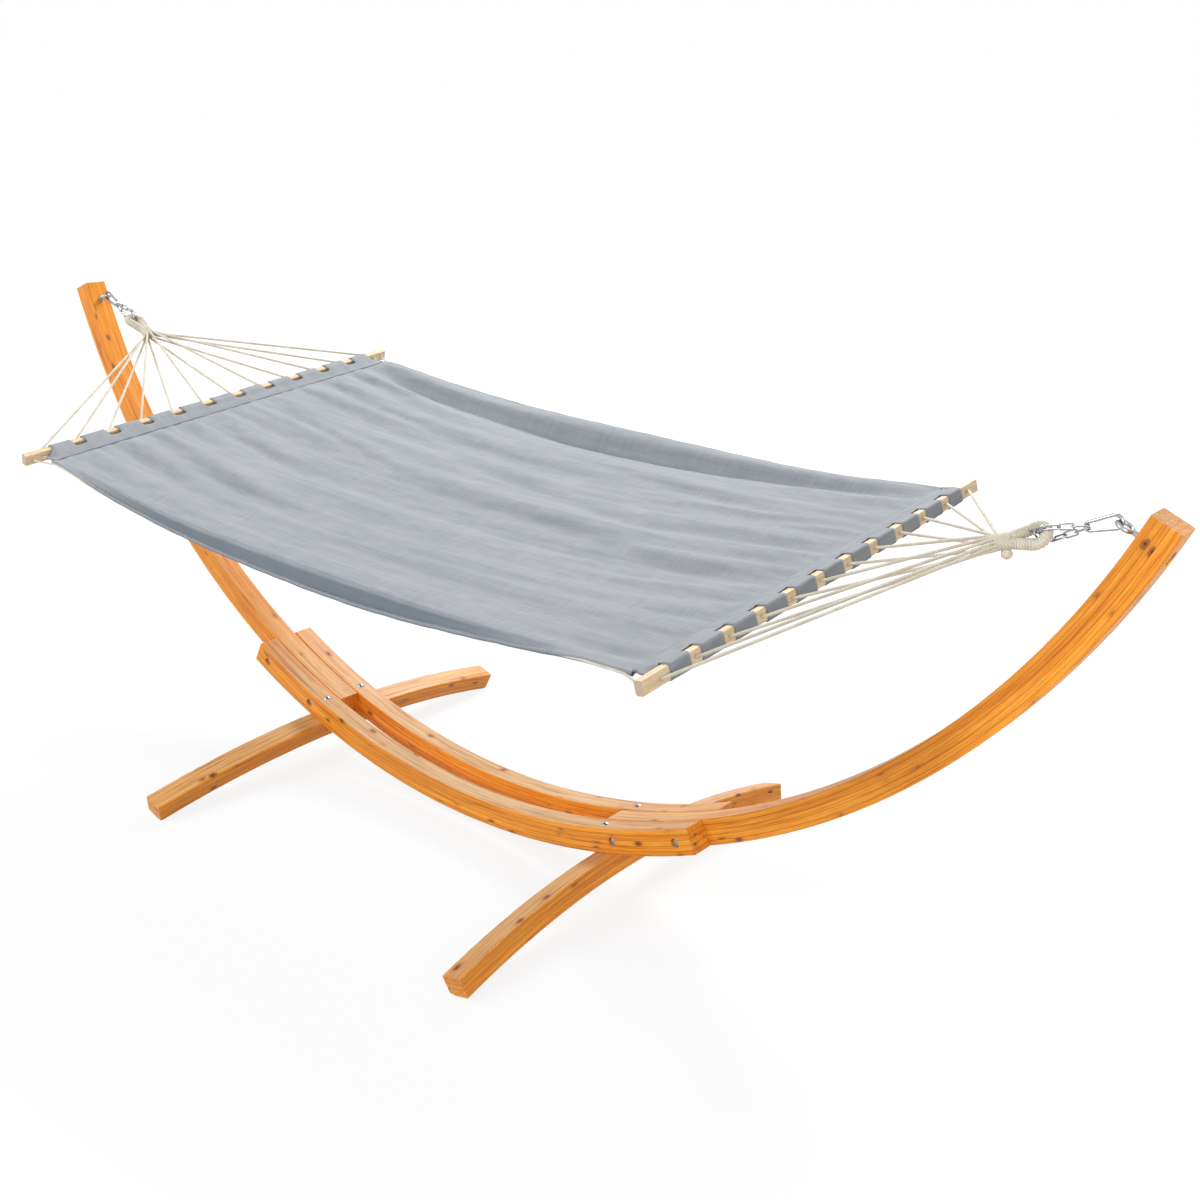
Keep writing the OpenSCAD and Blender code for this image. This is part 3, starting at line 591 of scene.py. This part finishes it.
def bed_height(x, y):
    """Height of the canvas over the line of the seams, in the bed's frame.

    It is a long parabola between the seams, deeper towards the middle line, with soft ripples
    along its length, tight gathers that fan out from between the notches, a valley beside the
    far hem, and a near edge that turns down."""
    t = x / SEAM_X
    free = np.clip(1 - t ** 2, 0, 1)
    held = 1 - free
    middle_sag = 0.012 * np.cos(np.pi * y / 1.09)
    base = SEAM_Z - (DIP - 0.004 + middle_sag) * free
    long_waves = ((0.0050, 0.41, 0.055, 0.4), (0.0046, 0.262, -0.045, 2.1), (0.0030, 0.171, 0.05, 4.0),
                  (0.0017, 0.118, -0.03, 1.2))
    ripple = hills(x, y, long_waves) * (0.35 + 0.65 * free) * np.clip(1 - held ** 14, 0, 1)
    pitch = CORD_Y[1] - CORD_Y[0]
    swayed = y + 0.050 * np.sin(np.pi * (t + 1) / 2) + 0.012 * np.sin(5.1 * t + 9 * y)
    deep = (0.0016 + 0.0034 * held) * (1 + 0.45 * np.sin(8.3 * y + 2.2 * t))
    gather = deep * np.cos(2 * np.pi * (swayed - CORD_Y[0]) / pitch)
    gather += 0.0016 * np.sin(4 * np.pi * (y + 0.04 * x) / pitch + 0.8) * held ** 3
    sharp = 1.15 * fold(x, y)
    valley = -0.027 * dome(y, 0.468 - 0.02 * free, 0.024) * free ** 0.5
    valley += -0.010 * dome(y, 0.405, 0.045) * free
    near_rim = 0.008 * dome(y, -0.500, 0.035) * free
    return base + ripple + gather * np.clip(1 - held ** 14, 0, 1) + sharp + valley + near_rim


# start and end along x, place across y, lean, depth and half width of each crease
CREASES = (
    (-0.90, -0.35, 0.30, -0.10, 0.0060, 0.016), (-0.90, -0.20, 0.10, -0.16, 0.0065, 0.018),
    (-0.88, -0.30, -0.10, -0.12, 0.0050, 0.020), (-0.86, 0.05, -0.30, -0.08, 0.0050, 0.024),
    (-0.40, 0.60, 0.16, -0.12, 0.0055, 0.026), (-0.10, 0.85, 0.33, -0.10, 0.0060, 0.022),
    (0.05, 0.88, -0.02, -0.14, 0.0055, 0.024), (0.30, 0.90, -0.20, 0.10, 0.0050, 0.018),
    (0.42, 0.90, 0.20, 0.08, 0.0050, 0.016), (-0.60, 0.35, -0.42, 0.03, 0.0040, 0.020),
    (-0.15, 0.70, -0.36, 0.06, 0.0035, 0.020), (-0.70, 0.10, 0.42, -0.02, 0.0050, 0.016))


def fold(x, y):
    """A few drawn creases: each a narrow valley with a soft ridge beside it, running along
    y = place + lean * (x - start) and fading out at both ends."""
    total = np.zeros(np.broadcast(x, y).shape)
    for start, end, place, lean, deep, width in CREASES:
        middle, half = (start + end) / 2, abs(end - start) / 2
        fade = np.clip(1 - ((x - middle) / half) ** 2, 0, 1) ** 1.5
        off = y - place - lean * (x - start)
        total += fade * deep * (0.7 * dome(off, 1.5 * width, 1.6 * width) - dome(off, 0, width))
    return total


def near_droop(x):
    """How far the near hem hangs below the rim beside it: none at the bars, most at mid length."""
    return HEM_DROOP * np.clip(1 - (np.abs(x + 0.04) / 0.84) ** 2.4, 0, 1) ** 1.1


def far_droop(x):
    """The far hem stays almost level with its rim."""
    return 0.004 * np.clip(1 - (x / 0.85) ** 2, 0, 1)


def hem_centre(side_y, x):
    """Centre of the hem cord, in the bed's frame."""
    droop = near_droop(x) if side_y < 0 else far_droop(x)
    y = side_y * (HEM_Y + 0.0012 * np.sin(7 * x) - 0.30 * droop)
    z = bed_height(x, side_y * 0.536) - droop - 0.003
    return y, z


def bed_rows(side_y, x):
    """The hem in section: from the stitch line, over the edge, round the cord and back under.

    The points are offsets from the cord's centre on a circle of radius HEM_RADIUS, from the
    inner side over the top and outside to the stitch line under the cloth."""
    y, z = hem_centre(side_y, x)
    angle = np.radians(np.linspace(100, -150, 14))[:, None]
    ring_y = y + side_y * HEM_RADIUS * np.cos(angle)
    ring_z = z + HEM_RADIUS * np.sin(angle)
    under_y = side_y * (0.5325 - 0.004 * np.arange(1, 5))[:, None] + 0 * x
    under_z = bed_height(x, under_y) - 0.0022 - np.clip(
        (near_droop(x) if side_y < 0 else far_droop(x)) * (1 - np.arange(1, 5)[:, None] / 3.2), 0, 1)
    return np.concatenate([ring_y, under_y]), np.concatenate([ring_z, under_z])


def turned_down(edge, droop):
    """How far the last strip of cloth moves out and down where the hem hangs by droop.

    The first quarter stays flat, the next quarter rolls by HEM_TURN over the radius HEM_ROLL,
    and the rest hangs straight, leaning inwards by HEM_LEAN. Without droop the cloth is flat."""
    share = np.clip(droop / HEM_DROOP, 0, 1)
    angle = HEM_TURN * np.clip((edge - 0.25) / 0.25, 0, 1)
    rolled = HEM_ROLL * (1 - np.cos(angle))
    hang = (droop - 0.010 * share) / math.cos(HEM_LEAN) * np.clip((edge - 0.5) / 0.5, 0, 1)
    out = 0.016 * np.clip(edge / 0.25, 0, 1) + HEM_ROLL * np.sin(angle) - hang * math.sin(HEM_LEAN)
    return share * (out - (EDGE_END - EDGE_START) * edge), share * rolled + hang * math.cos(HEM_LEAN)


def bed_grid():
    """The bed from seam to seam, with both hems, as rows across y and columns along x."""
    reach = np.pi / 2 * 0.82
    x = (SEAM_X + 0.004) * np.sin(np.linspace(-reach, reach, 150)) / math.sin(reach)
    edge_y = np.linspace(EDGE_START, EDGE_END, 26)
    middle_y = np.linspace(-EDGE_START, EDGE_START, 150)[1:-1]
    main_y = np.concatenate([-edge_y[::-1], middle_y, edge_y])[:, None] + 0 * x
    main_z = bed_height(x, main_y)
    for side_y in (-1, 1):
        droop = near_droop(x) if side_y < 0 else far_droop(x)
        edge = np.clip((side_y * main_y - EDGE_START) / (EDGE_END - EDGE_START), 0, 1)
        out, down = turned_down(edge, droop)
        main_y = main_y + side_y * out
        main_z = main_z - down
    near_y, near_z = bed_rows(-1, x)
    far_y, far_z = bed_rows(1, x)
    rows_y = np.concatenate([near_y[::-1], main_y, far_y])
    rows_z = np.concatenate([near_z[::-1], main_z, far_z])
    fine = 0.0007 * np.sin(rows_y * 151 + 23 * x) * np.sin(61 * x + 17 * rows_y)
    taper = 1 - 0.012 * np.clip((np.abs(x) - 0.5) / (SEAM_X - 0.5), 0, 1) ** 2
    return np.stack([np.broadcast_to(x, rows_y.shape), rows_y * taper, rows_z + fine], -1)


def sleeve_profile():
    """Section of the sleeve in the bar's frame: from the seam, over the bar and back under.

    It follows a rectangle with round corners one gap outside the bar. Above and below, it comes
    in from the seam in a slight curve, a power of the distance run."""
    h = BAR_THICK / 2 + SLEEVE_GAP
    v = BAR_TALL / 2 + SLEEVE_GAP
    r = 0.0048
    angle = np.radians(np.linspace(90, 180, 7))
    top = np.stack([-h + r + r * np.cos(angle), v - r + r * np.sin(angle)], -1)
    low = np.stack([-h + r + r * np.cos(angle + np.pi / 2), -v + r + r * np.sin(angle + np.pi / 2)], -1)
    seam_a = (BAR_X - SEAM_X) * math.cos(BAR_LEAN) - SEAM_Z * math.sin(BAR_LEAN)
    seam_b = (BAR_X - SEAM_X) * math.sin(BAR_LEAN) + SEAM_Z * math.cos(BAR_LEAN)
    run = np.linspace(0, 1, 12)[:, None]
    ease = run ** 1.25
    over_b = (seam_b + 0.0006) * (1 - ease) + v * ease
    over = np.concatenate([seam_a * (1 - run) + CLOTH_BACK * run, over_b], 1)
    under_b = (seam_b - 0.0006) * run ** 0.8 - v * (1 - run ** 0.8)
    under = np.concatenate([seam_a * run + CLOTH_BACK * (1 - run), under_b], 1)
    side = np.linspace(v - r, -v + r, 7)[1:-1]
    flat = np.stack([np.full_like(side, -h), side], -1)
    bridge_top = np.stack([np.linspace(CLOTH_BACK, -h + r, 6)[1:-1], np.full(4, v)], -1)
    bridge_low = np.stack([np.linspace(-h + r, CLOTH_BACK, 6)[1:-1], np.full(4, -v)], -1)
    return np.concatenate([over, bridge_top, top, flat, low, bridge_low, under])


def sleeve_stations():
    """Places across y: close together, and exactly at both edges of each notch."""
    edges = np.sort(np.concatenate([CORD_Y[1:-1] - NOTCH / 2, CORD_Y[1:-1] + NOTCH / 2]))
    marks = np.concatenate([[-FLAP_END, -SLEEVE_END], edges, [SLEEVE_END, FLAP_END]])
    runs = [np.linspace(p, q, max(4, int((q - p) / 0.008)), endpoint=False)
            for p, q in zip(marks, marks[1:])]
    return np.concatenate(runs + [[FLAP_END]])


def sleeve_grid(side):
    """The sleeve at one end, and which of its quads to keep round the notches and open ends."""
    profile = sleeve_profile()
    y = sleeve_stations()
    a, b = profile[:, 0][:, None], profile[:, 1][:, None]
    pitch = CORD_Y[1] - CORD_Y[0]
    from_notch = np.abs((y - CORD_Y[0] + pitch / 2) % pitch - pitch / 2)
    pucker = np.exp(-((from_notch - NOTCH / 2) / 0.009) ** 2)
    slack = 0.5 + 0.5 * np.sin(37 * y + 5 * np.sin(11 * y) + side)
    behind = np.clip((a - 0.008) / 0.02, 0, 1) * np.clip((0.056 - a) / 0.02, 0, 1)
    inside = np.clip((NOTCH / 2 + 0.001 - from_notch) / 0.004, 0, 1)
    edge = np.exp(-((a - CLOTH_BACK) / 0.014) ** 2)
    proud = 0.0008 * slack + 0.0016 * pucker * behind + 0.0012 * behind * np.sin(120 * y + 60 * a)
    b = b + np.sign(b) * proud * (1 - inside * edge) - 0.0016 * np.sign(b) * inside * edge
    flat = np.clip((np.abs(y) - SLEEVE_END) / 0.010, 0, 1)
    thin = profile[0, 1] * (a - CLOTH_BACK) / (profile[0, 0] - CLOTH_BACK) + 0.0005 * np.sign(b)
    b = b * (1 - flat) + thin * flat
    a = a - 0.0006 * slack * (a < -0.005) + 0 * y
    points = on_bar(side, a, y + 0 * a, b)
    middle_y = (y[1:] + y[:-1]) / 2
    gap = np.abs(middle_y[:, None] - CORD_Y[1:-1]).min(1) < NOTCH / 2
    middle_a = (profile[1:, 0] + profile[:-1, 0]) / 2
    open_end = np.abs(middle_y) > SLEEVE_END
    upper = np.arange(len(middle_a)) < len(middle_a) / 2
    reach = np.where(upper, NOTCH_BACK[side], CLOTH_BACK) + 1e-6
    cut = ((middle_a < reach)[:, None] & gap[None]) | ((middle_a < CLOTH_BACK)[:, None] & open_end[None])
    return points, ~cut


def cloth_mesh(name, grids):
    """One cloth object from grids of points, each with the quads to keep or None for them all.

    Its UV map gives metres along and across the cloth, so that the weave follows the threads."""
    points, faces, uvs, start = [], [], [], 0
    for grid, kept in grids:
        rows, columns = grid.shape[:2]
        i, j = np.meshgrid(np.arange(rows - 1), np.arange(columns - 1), indexing="ij")
        corners = [(i, j), (i, j + 1), (i + 1, j + 1), (i + 1, j)]
        quads = np.stack([p * columns + q for p, q in corners], -1)
        down = np.concatenate([[0], np.cumsum(np.linalg.norm(np.diff(grid, axis=0), axis=2).mean(1))])
        along = np.concatenate([[0], np.cumsum(np.linalg.norm(np.diff(grid, axis=1), axis=2).mean(0))])
        uv = np.stack([np.stack([along[q], down[p]], -1) for p, q in corners], -2)
        if kept is not None:
            quads, uv = quads[kept], uv[kept]
        faces += (quads.reshape(-1, 4) + start).tolist()
        uvs.append(uv.reshape(-1, 2))
        points.append(grid.reshape(-1, 3))
        start += rows * columns
    mesh = bpy.data.meshes.new(name)
    mesh.from_pydata(np.concatenate(points).tolist(), [], faces)
    mesh.uv_layers.new(name="UVMap").data.foreach_set("uv", np.concatenate(uvs).ravel())
    mesh.shade_smooth()
    return new_object(name, mesh)


def canvas_cloth():
    """Plain weave with slubs both ways, cloudy fading, streaks, and painted shade: darker and bluer where
    the cloth faces down.
    """
    material, tree, surface = shader("grey_canvas", (0.38, 0.41, 0.45), 0.92)
    uv = own_uv(tree)
    warp = noise(tree, uv, 1, 3, 0.6, (14, 620, 1))
    weft = noise(tree, uv, 1, 3, 0.6, (620, 14, 1))
    cloudy = noise(tree, uv, 9, 4, 0.6)
    yarn = math_node(tree, "MULTIPLY_ADD", math_node(tree, "ADD", warp, weft), 0.5, 0.0)
    streak = noise(tree, uv, 1, 3, 0.5, (1.6, 42, 1))
    tone = ramp(tree, yarn, (0.36, (0.236, 0.254, 0.274)), (0.64, (0.350, 0.365, 0.380)))
    fade = ramp(tree, cloudy, (0.35, (0.92, 0.93, 0.95)), (0.65, (1.0, 1.0, 1.0)))
    bands = ramp(tree, streak, (0.36, (0.88, 0.89, 0.91)), (0.62, (1.0, 1.0, 1.0)))
    tone = blend_colour(tree, 1.0, tone, fade, "MULTIPLY")
    # Painted shade: where the cloth faces down, its colour is blended up to a little over half way towards
    # a dark slate blue.
    geometry = tree.nodes.new("ShaderNodeNewGeometry")
    under = ramp_value(tree, dot_with(tree, geometry.outputs["True Normal"], (0, 0, -1)), -0.35, 0.25)
    tone = blend_colour(tree, math_node(tree, "MULTIPLY", under, 0.55), tone, (0.07, 0.11, 0.15))
    tree.links.new(blend_colour(tree, 1.0, tone, bands, "MULTIPLY"), surface.inputs["Base Color"])
    surface.inputs["Specular IOR Level"].default_value = 0.15
    surface.inputs["Sheen Weight"].default_value = 0.15
    surface.inputs["Sheen Roughness"].default_value = 0.6
    add_bump(tree, surface, yarn, 0.35, 0.0012)
    return material


def make_canvas():
    """The bed, its hems and both sleeves, with the real thickness of the cloth."""
    bed = bed_grid()
    placed = on_bed(1, bed[..., 0], bed[..., 1], bed[..., 2])
    cloth = cloth_mesh("canvas_sewn", [(placed, None)] + [sleeve_grid(side) for _, side in SIDES])
    thick = cloth.modifiers.new("cloth", "SOLIDIFY")
    thick.thickness = 0.0012
    thick.offset = 0
    cloth.data.materials.append(canvas_cloth())
    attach(cloth, "hammock")
    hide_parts("canvas")


make_canvas()

# ---- hem cords ---------------------------------------------------------------------------
# A thin cotton line runs inside each long hem. It comes out at the corners of the canvas and is
# pinned into the hidden face of each bar near its end, which keeps the long edge tight.

HEM_PIN = BAR_LENGTH / 2 - 0.018


def make_hem_cord(name, side_y):
    """One line from bar to bar through a hem."""
    x = np.linspace(-SEAM_X + 0.012, SEAM_X - 0.012, 60)
    y, z = hem_centre(side_y, x)
    run = on_bed(1, x, y, z)
    ends = [[on_bar(side, 0.002, side_y * HEM_PIN, 0.0), on_bar(side, 0.015, side_y * HEM_PIN, 0.0)]
            for side in (-1, 1)]
    corners = [*ends[0], *run, *ends[1][::-1]]
    along = np.concatenate([[0], np.cumsum(np.linalg.norm(np.diff(corners, axis=0), axis=1))])
    even = np.linspace(0, along[-1], int(along[-1] / 0.0035))
    path = np.stack([np.interp(even, along, np.array(corners)[:, i]) for i in range(3)], -1)
    grid = tube_grid(path, laid(HEM_CORD / 2 * 0.92, 0.016), 10, (0.02, 0.05, 1.0))
    piece = tube_mesh(f"hem_line_{name}", [grid])
    piece.data.materials.append(COTTON)
    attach(piece, "hammock")
    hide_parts(f"hem_cord_{name}")


make_hem_cord("near", -1)
make_hem_cord("far", 1)

# ---- larch beams -------------------------------------------------------------------------
# Rails, arms and feet are glued up from bent larch boards a finger thick, so glue lines and
# grain follow each curve. They are planed, slightly rounded, and stained orange-brown.

ARC_RADIUS = 1.700
ARC_Z = 1.771911
FOOT_RADIUS = 2.370
FOOT_ANGLE = math.radians(16.8)
FOOT_MIDDLE = 1.730 + 0.025 - 0.0015
BOARD = 0.0121
HALF_BEAM = 0.030
HALF_GLUED = 0.0245
GLUE_SHARE = 0.045


def along_curve(tree, middle, first, second, wide, radius):
    """Coordinates that follow a bent beam: metres along its curve, across its width, and out
    from its centre line. The curve is a circle round middle, in the plane of first and second."""
    shift = tree.nodes.new("ShaderNodeVectorMath")
    shift.operation = "SUBTRACT"
    shift.inputs[1].default_value = middle
    tree.links.new(own_place(tree), shift.inputs[0])
    p = dot_with(tree, shift.outputs[0], first)
    q = dot_with(tree, shift.outputs[0], second)
    angle = math_node(tree, "ARCTAN2", p, q)
    squares = math_node(tree, "ADD", math_node(tree, "MULTIPLY", p, p), math_node(tree, "MULTIPLY", q, q))
    out = math_node(tree, "SUBTRACT", math_node(tree, "SQRT", squares), float(radius))
    joined = tree.nodes.new("ShaderNodeCombineXYZ")
    tree.links.new(math_node(tree, "MULTIPLY", angle, float(radius)), joined.inputs[0])
    tree.links.new(dot_with(tree, shift.outputs[0], wide), joined.inputs[1])
    tree.links.new(out, joined.inputs[2])
    return joined.outputs[0], out


def board_chance(tree, layer, seed):
    """A chance number and colour that stay the same all over one board."""
    chance = tree.nodes.new("ShaderNodeTexWhiteNoise")
    chance.noise_dimensions = "1D"
    board = math_node(tree, "FLOOR", layer)
    tree.links.new(math_node(tree, "ADD", board, seed * 7.31), chance.inputs["W"])
    return chance


def board_place(tree, vector, chance):
    """The beam's own coordinates, shifted by chance in each board so that no grain runs across."""
    moved = tree.nodes.new("ShaderNodeVectorMath")
    moved.operation = "MULTIPLY_ADD"
    moved.inputs[1].default_value = (9.0, 0.4, 0.2)
    tree.links.new(chance.outputs["Color"], moved.inputs[0])
    tree.links.new(vector, moved.inputs[2])
    return moved.outputs[0]


def stained_grain(tree, place, grain, chance):
    """Orange-brown stain whose tone follows the grain, slow patches, each board and the pores."""
    colour = ramp(tree, grain, (0.30, (0.60, 0.165, 0.012)), (0.46, (0.86, 0.310, 0.026)),
                  (0.60, (0.94, 0.385, 0.042)), (0.74, (0.97, 0.47, 0.085)))
    flow = noise(tree, place, 1, 3, 0.5, (2.2, 26, 26))
    slow = ramp(tree, flow, (0.3, (0.90, 0.82, 0.72)), (0.7, (1.04, 1.06, 1.04)))
    colour = blend_colour(tree, 1.0, colour, slow, "MULTIPLY")
    tone = ramp(tree, chance.outputs["Value"], (0.0, (0.90, 0.84, 0.74)), (1.0, (1.05, 1.06, 1.02)))
    colour = blend_colour(tree, 1.0, colour, tone, "MULTIPLY")
    pores = noise(tree, place, 1, 2, 0.5, (22, 900, 900))
    specks = ramp(tree, pores, (0.35, (0.55, 0.45, 0.35)), (0.55, (1, 1, 1)))
    return blend_colour(tree, 0.35, colour, specks, "MULTIPLY")


def glue_lines(tree, layer, out):
    """1 within GLUE_SHARE of a board from a joint, as far out as HALF_GLUED, and 0 elsewhere."""
    part = math_node(tree, "FRACT", layer)
    from_middle = math_node(tree, "ABSOLUTE", math_node(tree, "SUBTRACT", part, 0.5))
    wood = math_node(tree, "LESS_THAN", from_middle, 0.5 - GLUE_SHARE)
    inner = math_node(tree, "LESS_THAN", math_node(tree, "ABSOLUTE", out), HALF_GLUED)
    return math_node(tree, "MULTIPLY", math_node(tree, "SUBTRACT", 1.0, wood), inner)


def painted_sheen_tops(tree, colour, grain):
    """Painted sheen: faces that look up are made a pale beige with brown stripes, a highlight painted into
    the colour.
    """
    geometry = tree.nodes.new("ShaderNodeNewGeometry")
    upward = dot_with(tree, geometry.outputs["Normal"], (0, 0, 1))
    # The painted sheen takes up to 0.85 of the colour as the face turns up.
    sheen_share = math_node(tree, "MULTIPLY", ramp_value(tree, upward, 0.84, 0.99), 0.85)
    pale = ramp(tree, grain, (0.36, (0.32, 0.22, 0.11)), (0.50, (0.52, 0.415, 0.255)),
                (0.66, (0.61, 0.53, 0.38)))
    return blend_colour(tree, sheen_share, colour, blend_colour(tree, 0.75, colour, pale))


def larch(name, middle, first, second, wide, radius, seed):
    """Stained larch: boards of slightly different tone, dark glue lines, streaky grain, knots, and upward
    faces painted paler as a sheen."""
    material, tree, surface = shader(name, (0.75, 0.30, 0.05), 0.42)
    vector, out = along_curve(tree, middle, first, second, wide, radius)
    layer = math_node(tree, "DIVIDE", math_node(tree, "ADD", out, HALF_BEAM), BOARD)
    chance = board_chance(tree, layer, seed)
    place = board_place(tree, vector, chance)
    grain = noise(tree, place, 1, 4, 0.62, (5, 170, 170))
    glue = glue_lines(tree, layer, out)
    colour = stained_grain(tree, place, grain, chance)
    colour = blend_colour(tree, math_node(tree, "MULTIPLY", glue, 0.62), colour, (0.20, 0.055, 0.010))
    # Upward faces get a painted sheen over the stain, grain and glue lines.
    colour = add_knots(tree, place, painted_sheen_tops(tree, colour, grain))
    tree.links.new(colour, surface.inputs["Base Color"])
    surface.inputs["Specular IOR Level"].default_value = 0.28
    surface.inputs["Coat Weight"].default_value = 0.06
    surface.inputs["Coat Roughness"].default_value = 0.35
    height = math_node(tree, "SUBTRACT", math_node(tree, "MULTIPLY", grain, 0.6),
                       math_node(tree, "MULTIPLY", glue, 0.5))
    add_bump(tree, surface, height, 0.35, 0.0012)
    return material


def add_knots(tree, vector, colour):
    """Scattered knots: a dark heart, a brown ring and a darker halo, by distance from its centre."""
    squeeze = tree.nodes.new("ShaderNodeMapping")
    squeeze.inputs["Scale"].default_value = (12.5, 21, 21)
    tree.links.new(vector, squeeze.inputs["Vector"])
    cells = tree.nodes.new("ShaderNodeTexVoronoi")
    cells.inputs["Scale"].default_value = 1.0
    tree.links.new(squeeze.outputs[0], cells.inputs["Vector"])
    wobble = math_node(tree, "MULTIPLY", noise(tree, vector, 160, 2), 0.10)
    away = math_node(tree, "ADD", cells.outputs["Distance"], wobble)
    brown = ramp_value(tree, away, 0.215, 0.155)
    heart = ramp_value(tree, away, 0.115, 0.085)
    halo = math_node(tree, "MULTIPLY", ramp_value(tree, away, 0.33, 0.18), 0.40)
    colour = blend_colour(tree, halo, colour, (0.46, 0.14, 0.02))
    colour = blend_colour(tree, brown, colour, (0.33, 0.10, 0.020))
    return blend_colour(tree, heart, colour, (0.07, 0.020, 0.007))


def paint(node, material):
    """Gives a carried-over solid one finish."""
    slots = nodes[node].data.materials
    slots.clear()
    slots.append(material)


def make_beams():
    """Grain that follows each beam's own curve."""
    for seed, node in enumerate(("rail_near", "rail_far", "arm_left", "arm_right")):
        wood = larch(f"larch_{node}", (0, 0, ARC_Z), (1, 0, 0), (0, 0, -1), (0, 1, 0), ARC_RADIUS, seed)
        paint(node, wood)
    for name, side in SIDES:
        up = (-side * math.sin(FOOT_ANGLE), 0, math.cos(FOOT_ANGLE))
        middle = (side * FOOT_MIDDLE * math.sin(FOOT_ANGLE), 0, ARC_Z - FOOT_MIDDLE * math.cos(FOOT_ANGLE))
        middle = tuple(m - FOOT_RADIUS * u for m, u in zip(middle, up))
        wide = (math.cos(FOOT_ANGLE), 0, side * math.sin(FOOT_ANGLE))
        wood = larch(f"larch_foot_{name}", middle, (0, 1, 0), up, wide, FOOT_RADIUS, 5 + side)
        paint(f"foot_{name}", wood)


make_beams()

# ---- spreader bars -----------------------------------------------------------------------
# Plain pale hardwood laths, planed with round edges, sanded and left without stain. Their
# grain runs along Y and their sawn ends are a little greyer.


def pale_hardwood():
    """Fine straight grain along Y with small dark flecks, and greyer ends."""
    material, tree, surface = shader("pale_beech", (0.72, 0.56, 0.36), 0.55)
    place = own_place(tree)
    grain = noise(tree, place, 1, 4, 0.6, (260, 5, 260))
    fleck = noise(tree, place, 1, 2, 0.5, (700, 60, 700))
    colour = ramp(tree, grain, (0.32, (0.58, 0.40, 0.22)), (0.52, (0.73, 0.56, 0.36)),
                  (0.70, (0.80, 0.66, 0.46)))
    specks = ramp(tree, fleck, (0.33, (0.6, 0.5, 0.4)), (0.42, (1, 1, 1)))
    colour = blend_colour(tree, 0.4, colour, specks, "MULTIPLY")
    geometry = tree.nodes.new("ShaderNodeNewGeometry")
    end = math_node(tree, "ABSOLUTE", dot_with(tree, geometry.outputs["Normal"], (0, 1, 0)))
    colour = blend_colour(tree, math_node(tree, "MULTIPLY", ramp_value(tree, end, 0.8, 0.95), 0.6), colour,
                          (0.36, 0.29, 0.22))
    tree.links.new(colour, surface.inputs["Base Color"])
    add_bump(tree, surface, grain, 0.2, 0.0005)
    return material


BEECH = pale_hardwood()
for name, _ in SIDES:
    paint(f"spreader_bar_{name}", BEECH)

# ---- plated steel ------------------------------------------------------------------------
# Bolts, washers, nuts, eye bolts, snap hooks and chain are bright zinc-plated steel. The chain
# and hooks are the shiniest, and the bolt heads are slightly dulled.


def zinc(name, tint, roughness, spread):
    """Plated steel: a metal whose polish varies a little from place to place."""
    material, tree, surface = shader(name, tint, roughness)
    surface.inputs["Metallic"].default_value = 1.0
    place = own_place(tree)
    cloud = noise(tree, place, 260, 3)
    polish = math_node(tree, "MULTIPLY_ADD", cloud, spread, roughness - spread / 2)
    tree.links.new(polish, surface.inputs["Roughness"])
    dull = ramp(tree, noise(tree, place, 90, 2), (0.3, tuple(0.82 * t for t in tint)), (0.7, tint))
    tree.links.new(dull, surface.inputs["Base Color"])
    add_bump(tree, surface, cloud, 0.08, 0.0003)
    return material


ZINC = zinc("zinc_steel", (0.47, 0.48, 0.50), 0.34, 0.16)
BRIGHT = zinc("bright_zinc", (0.42, 0.43, 0.45), 0.22, 0.12)
for node in nodes:
    if node.startswith(("clamp_", "foot_bolts", "foot_washers", "foot_nuts", "eye_")):
        paint(node, ZINC)
    elif node.startswith(("snap_hook", "gate", "chain")):
        paint(node, BRIGHT)
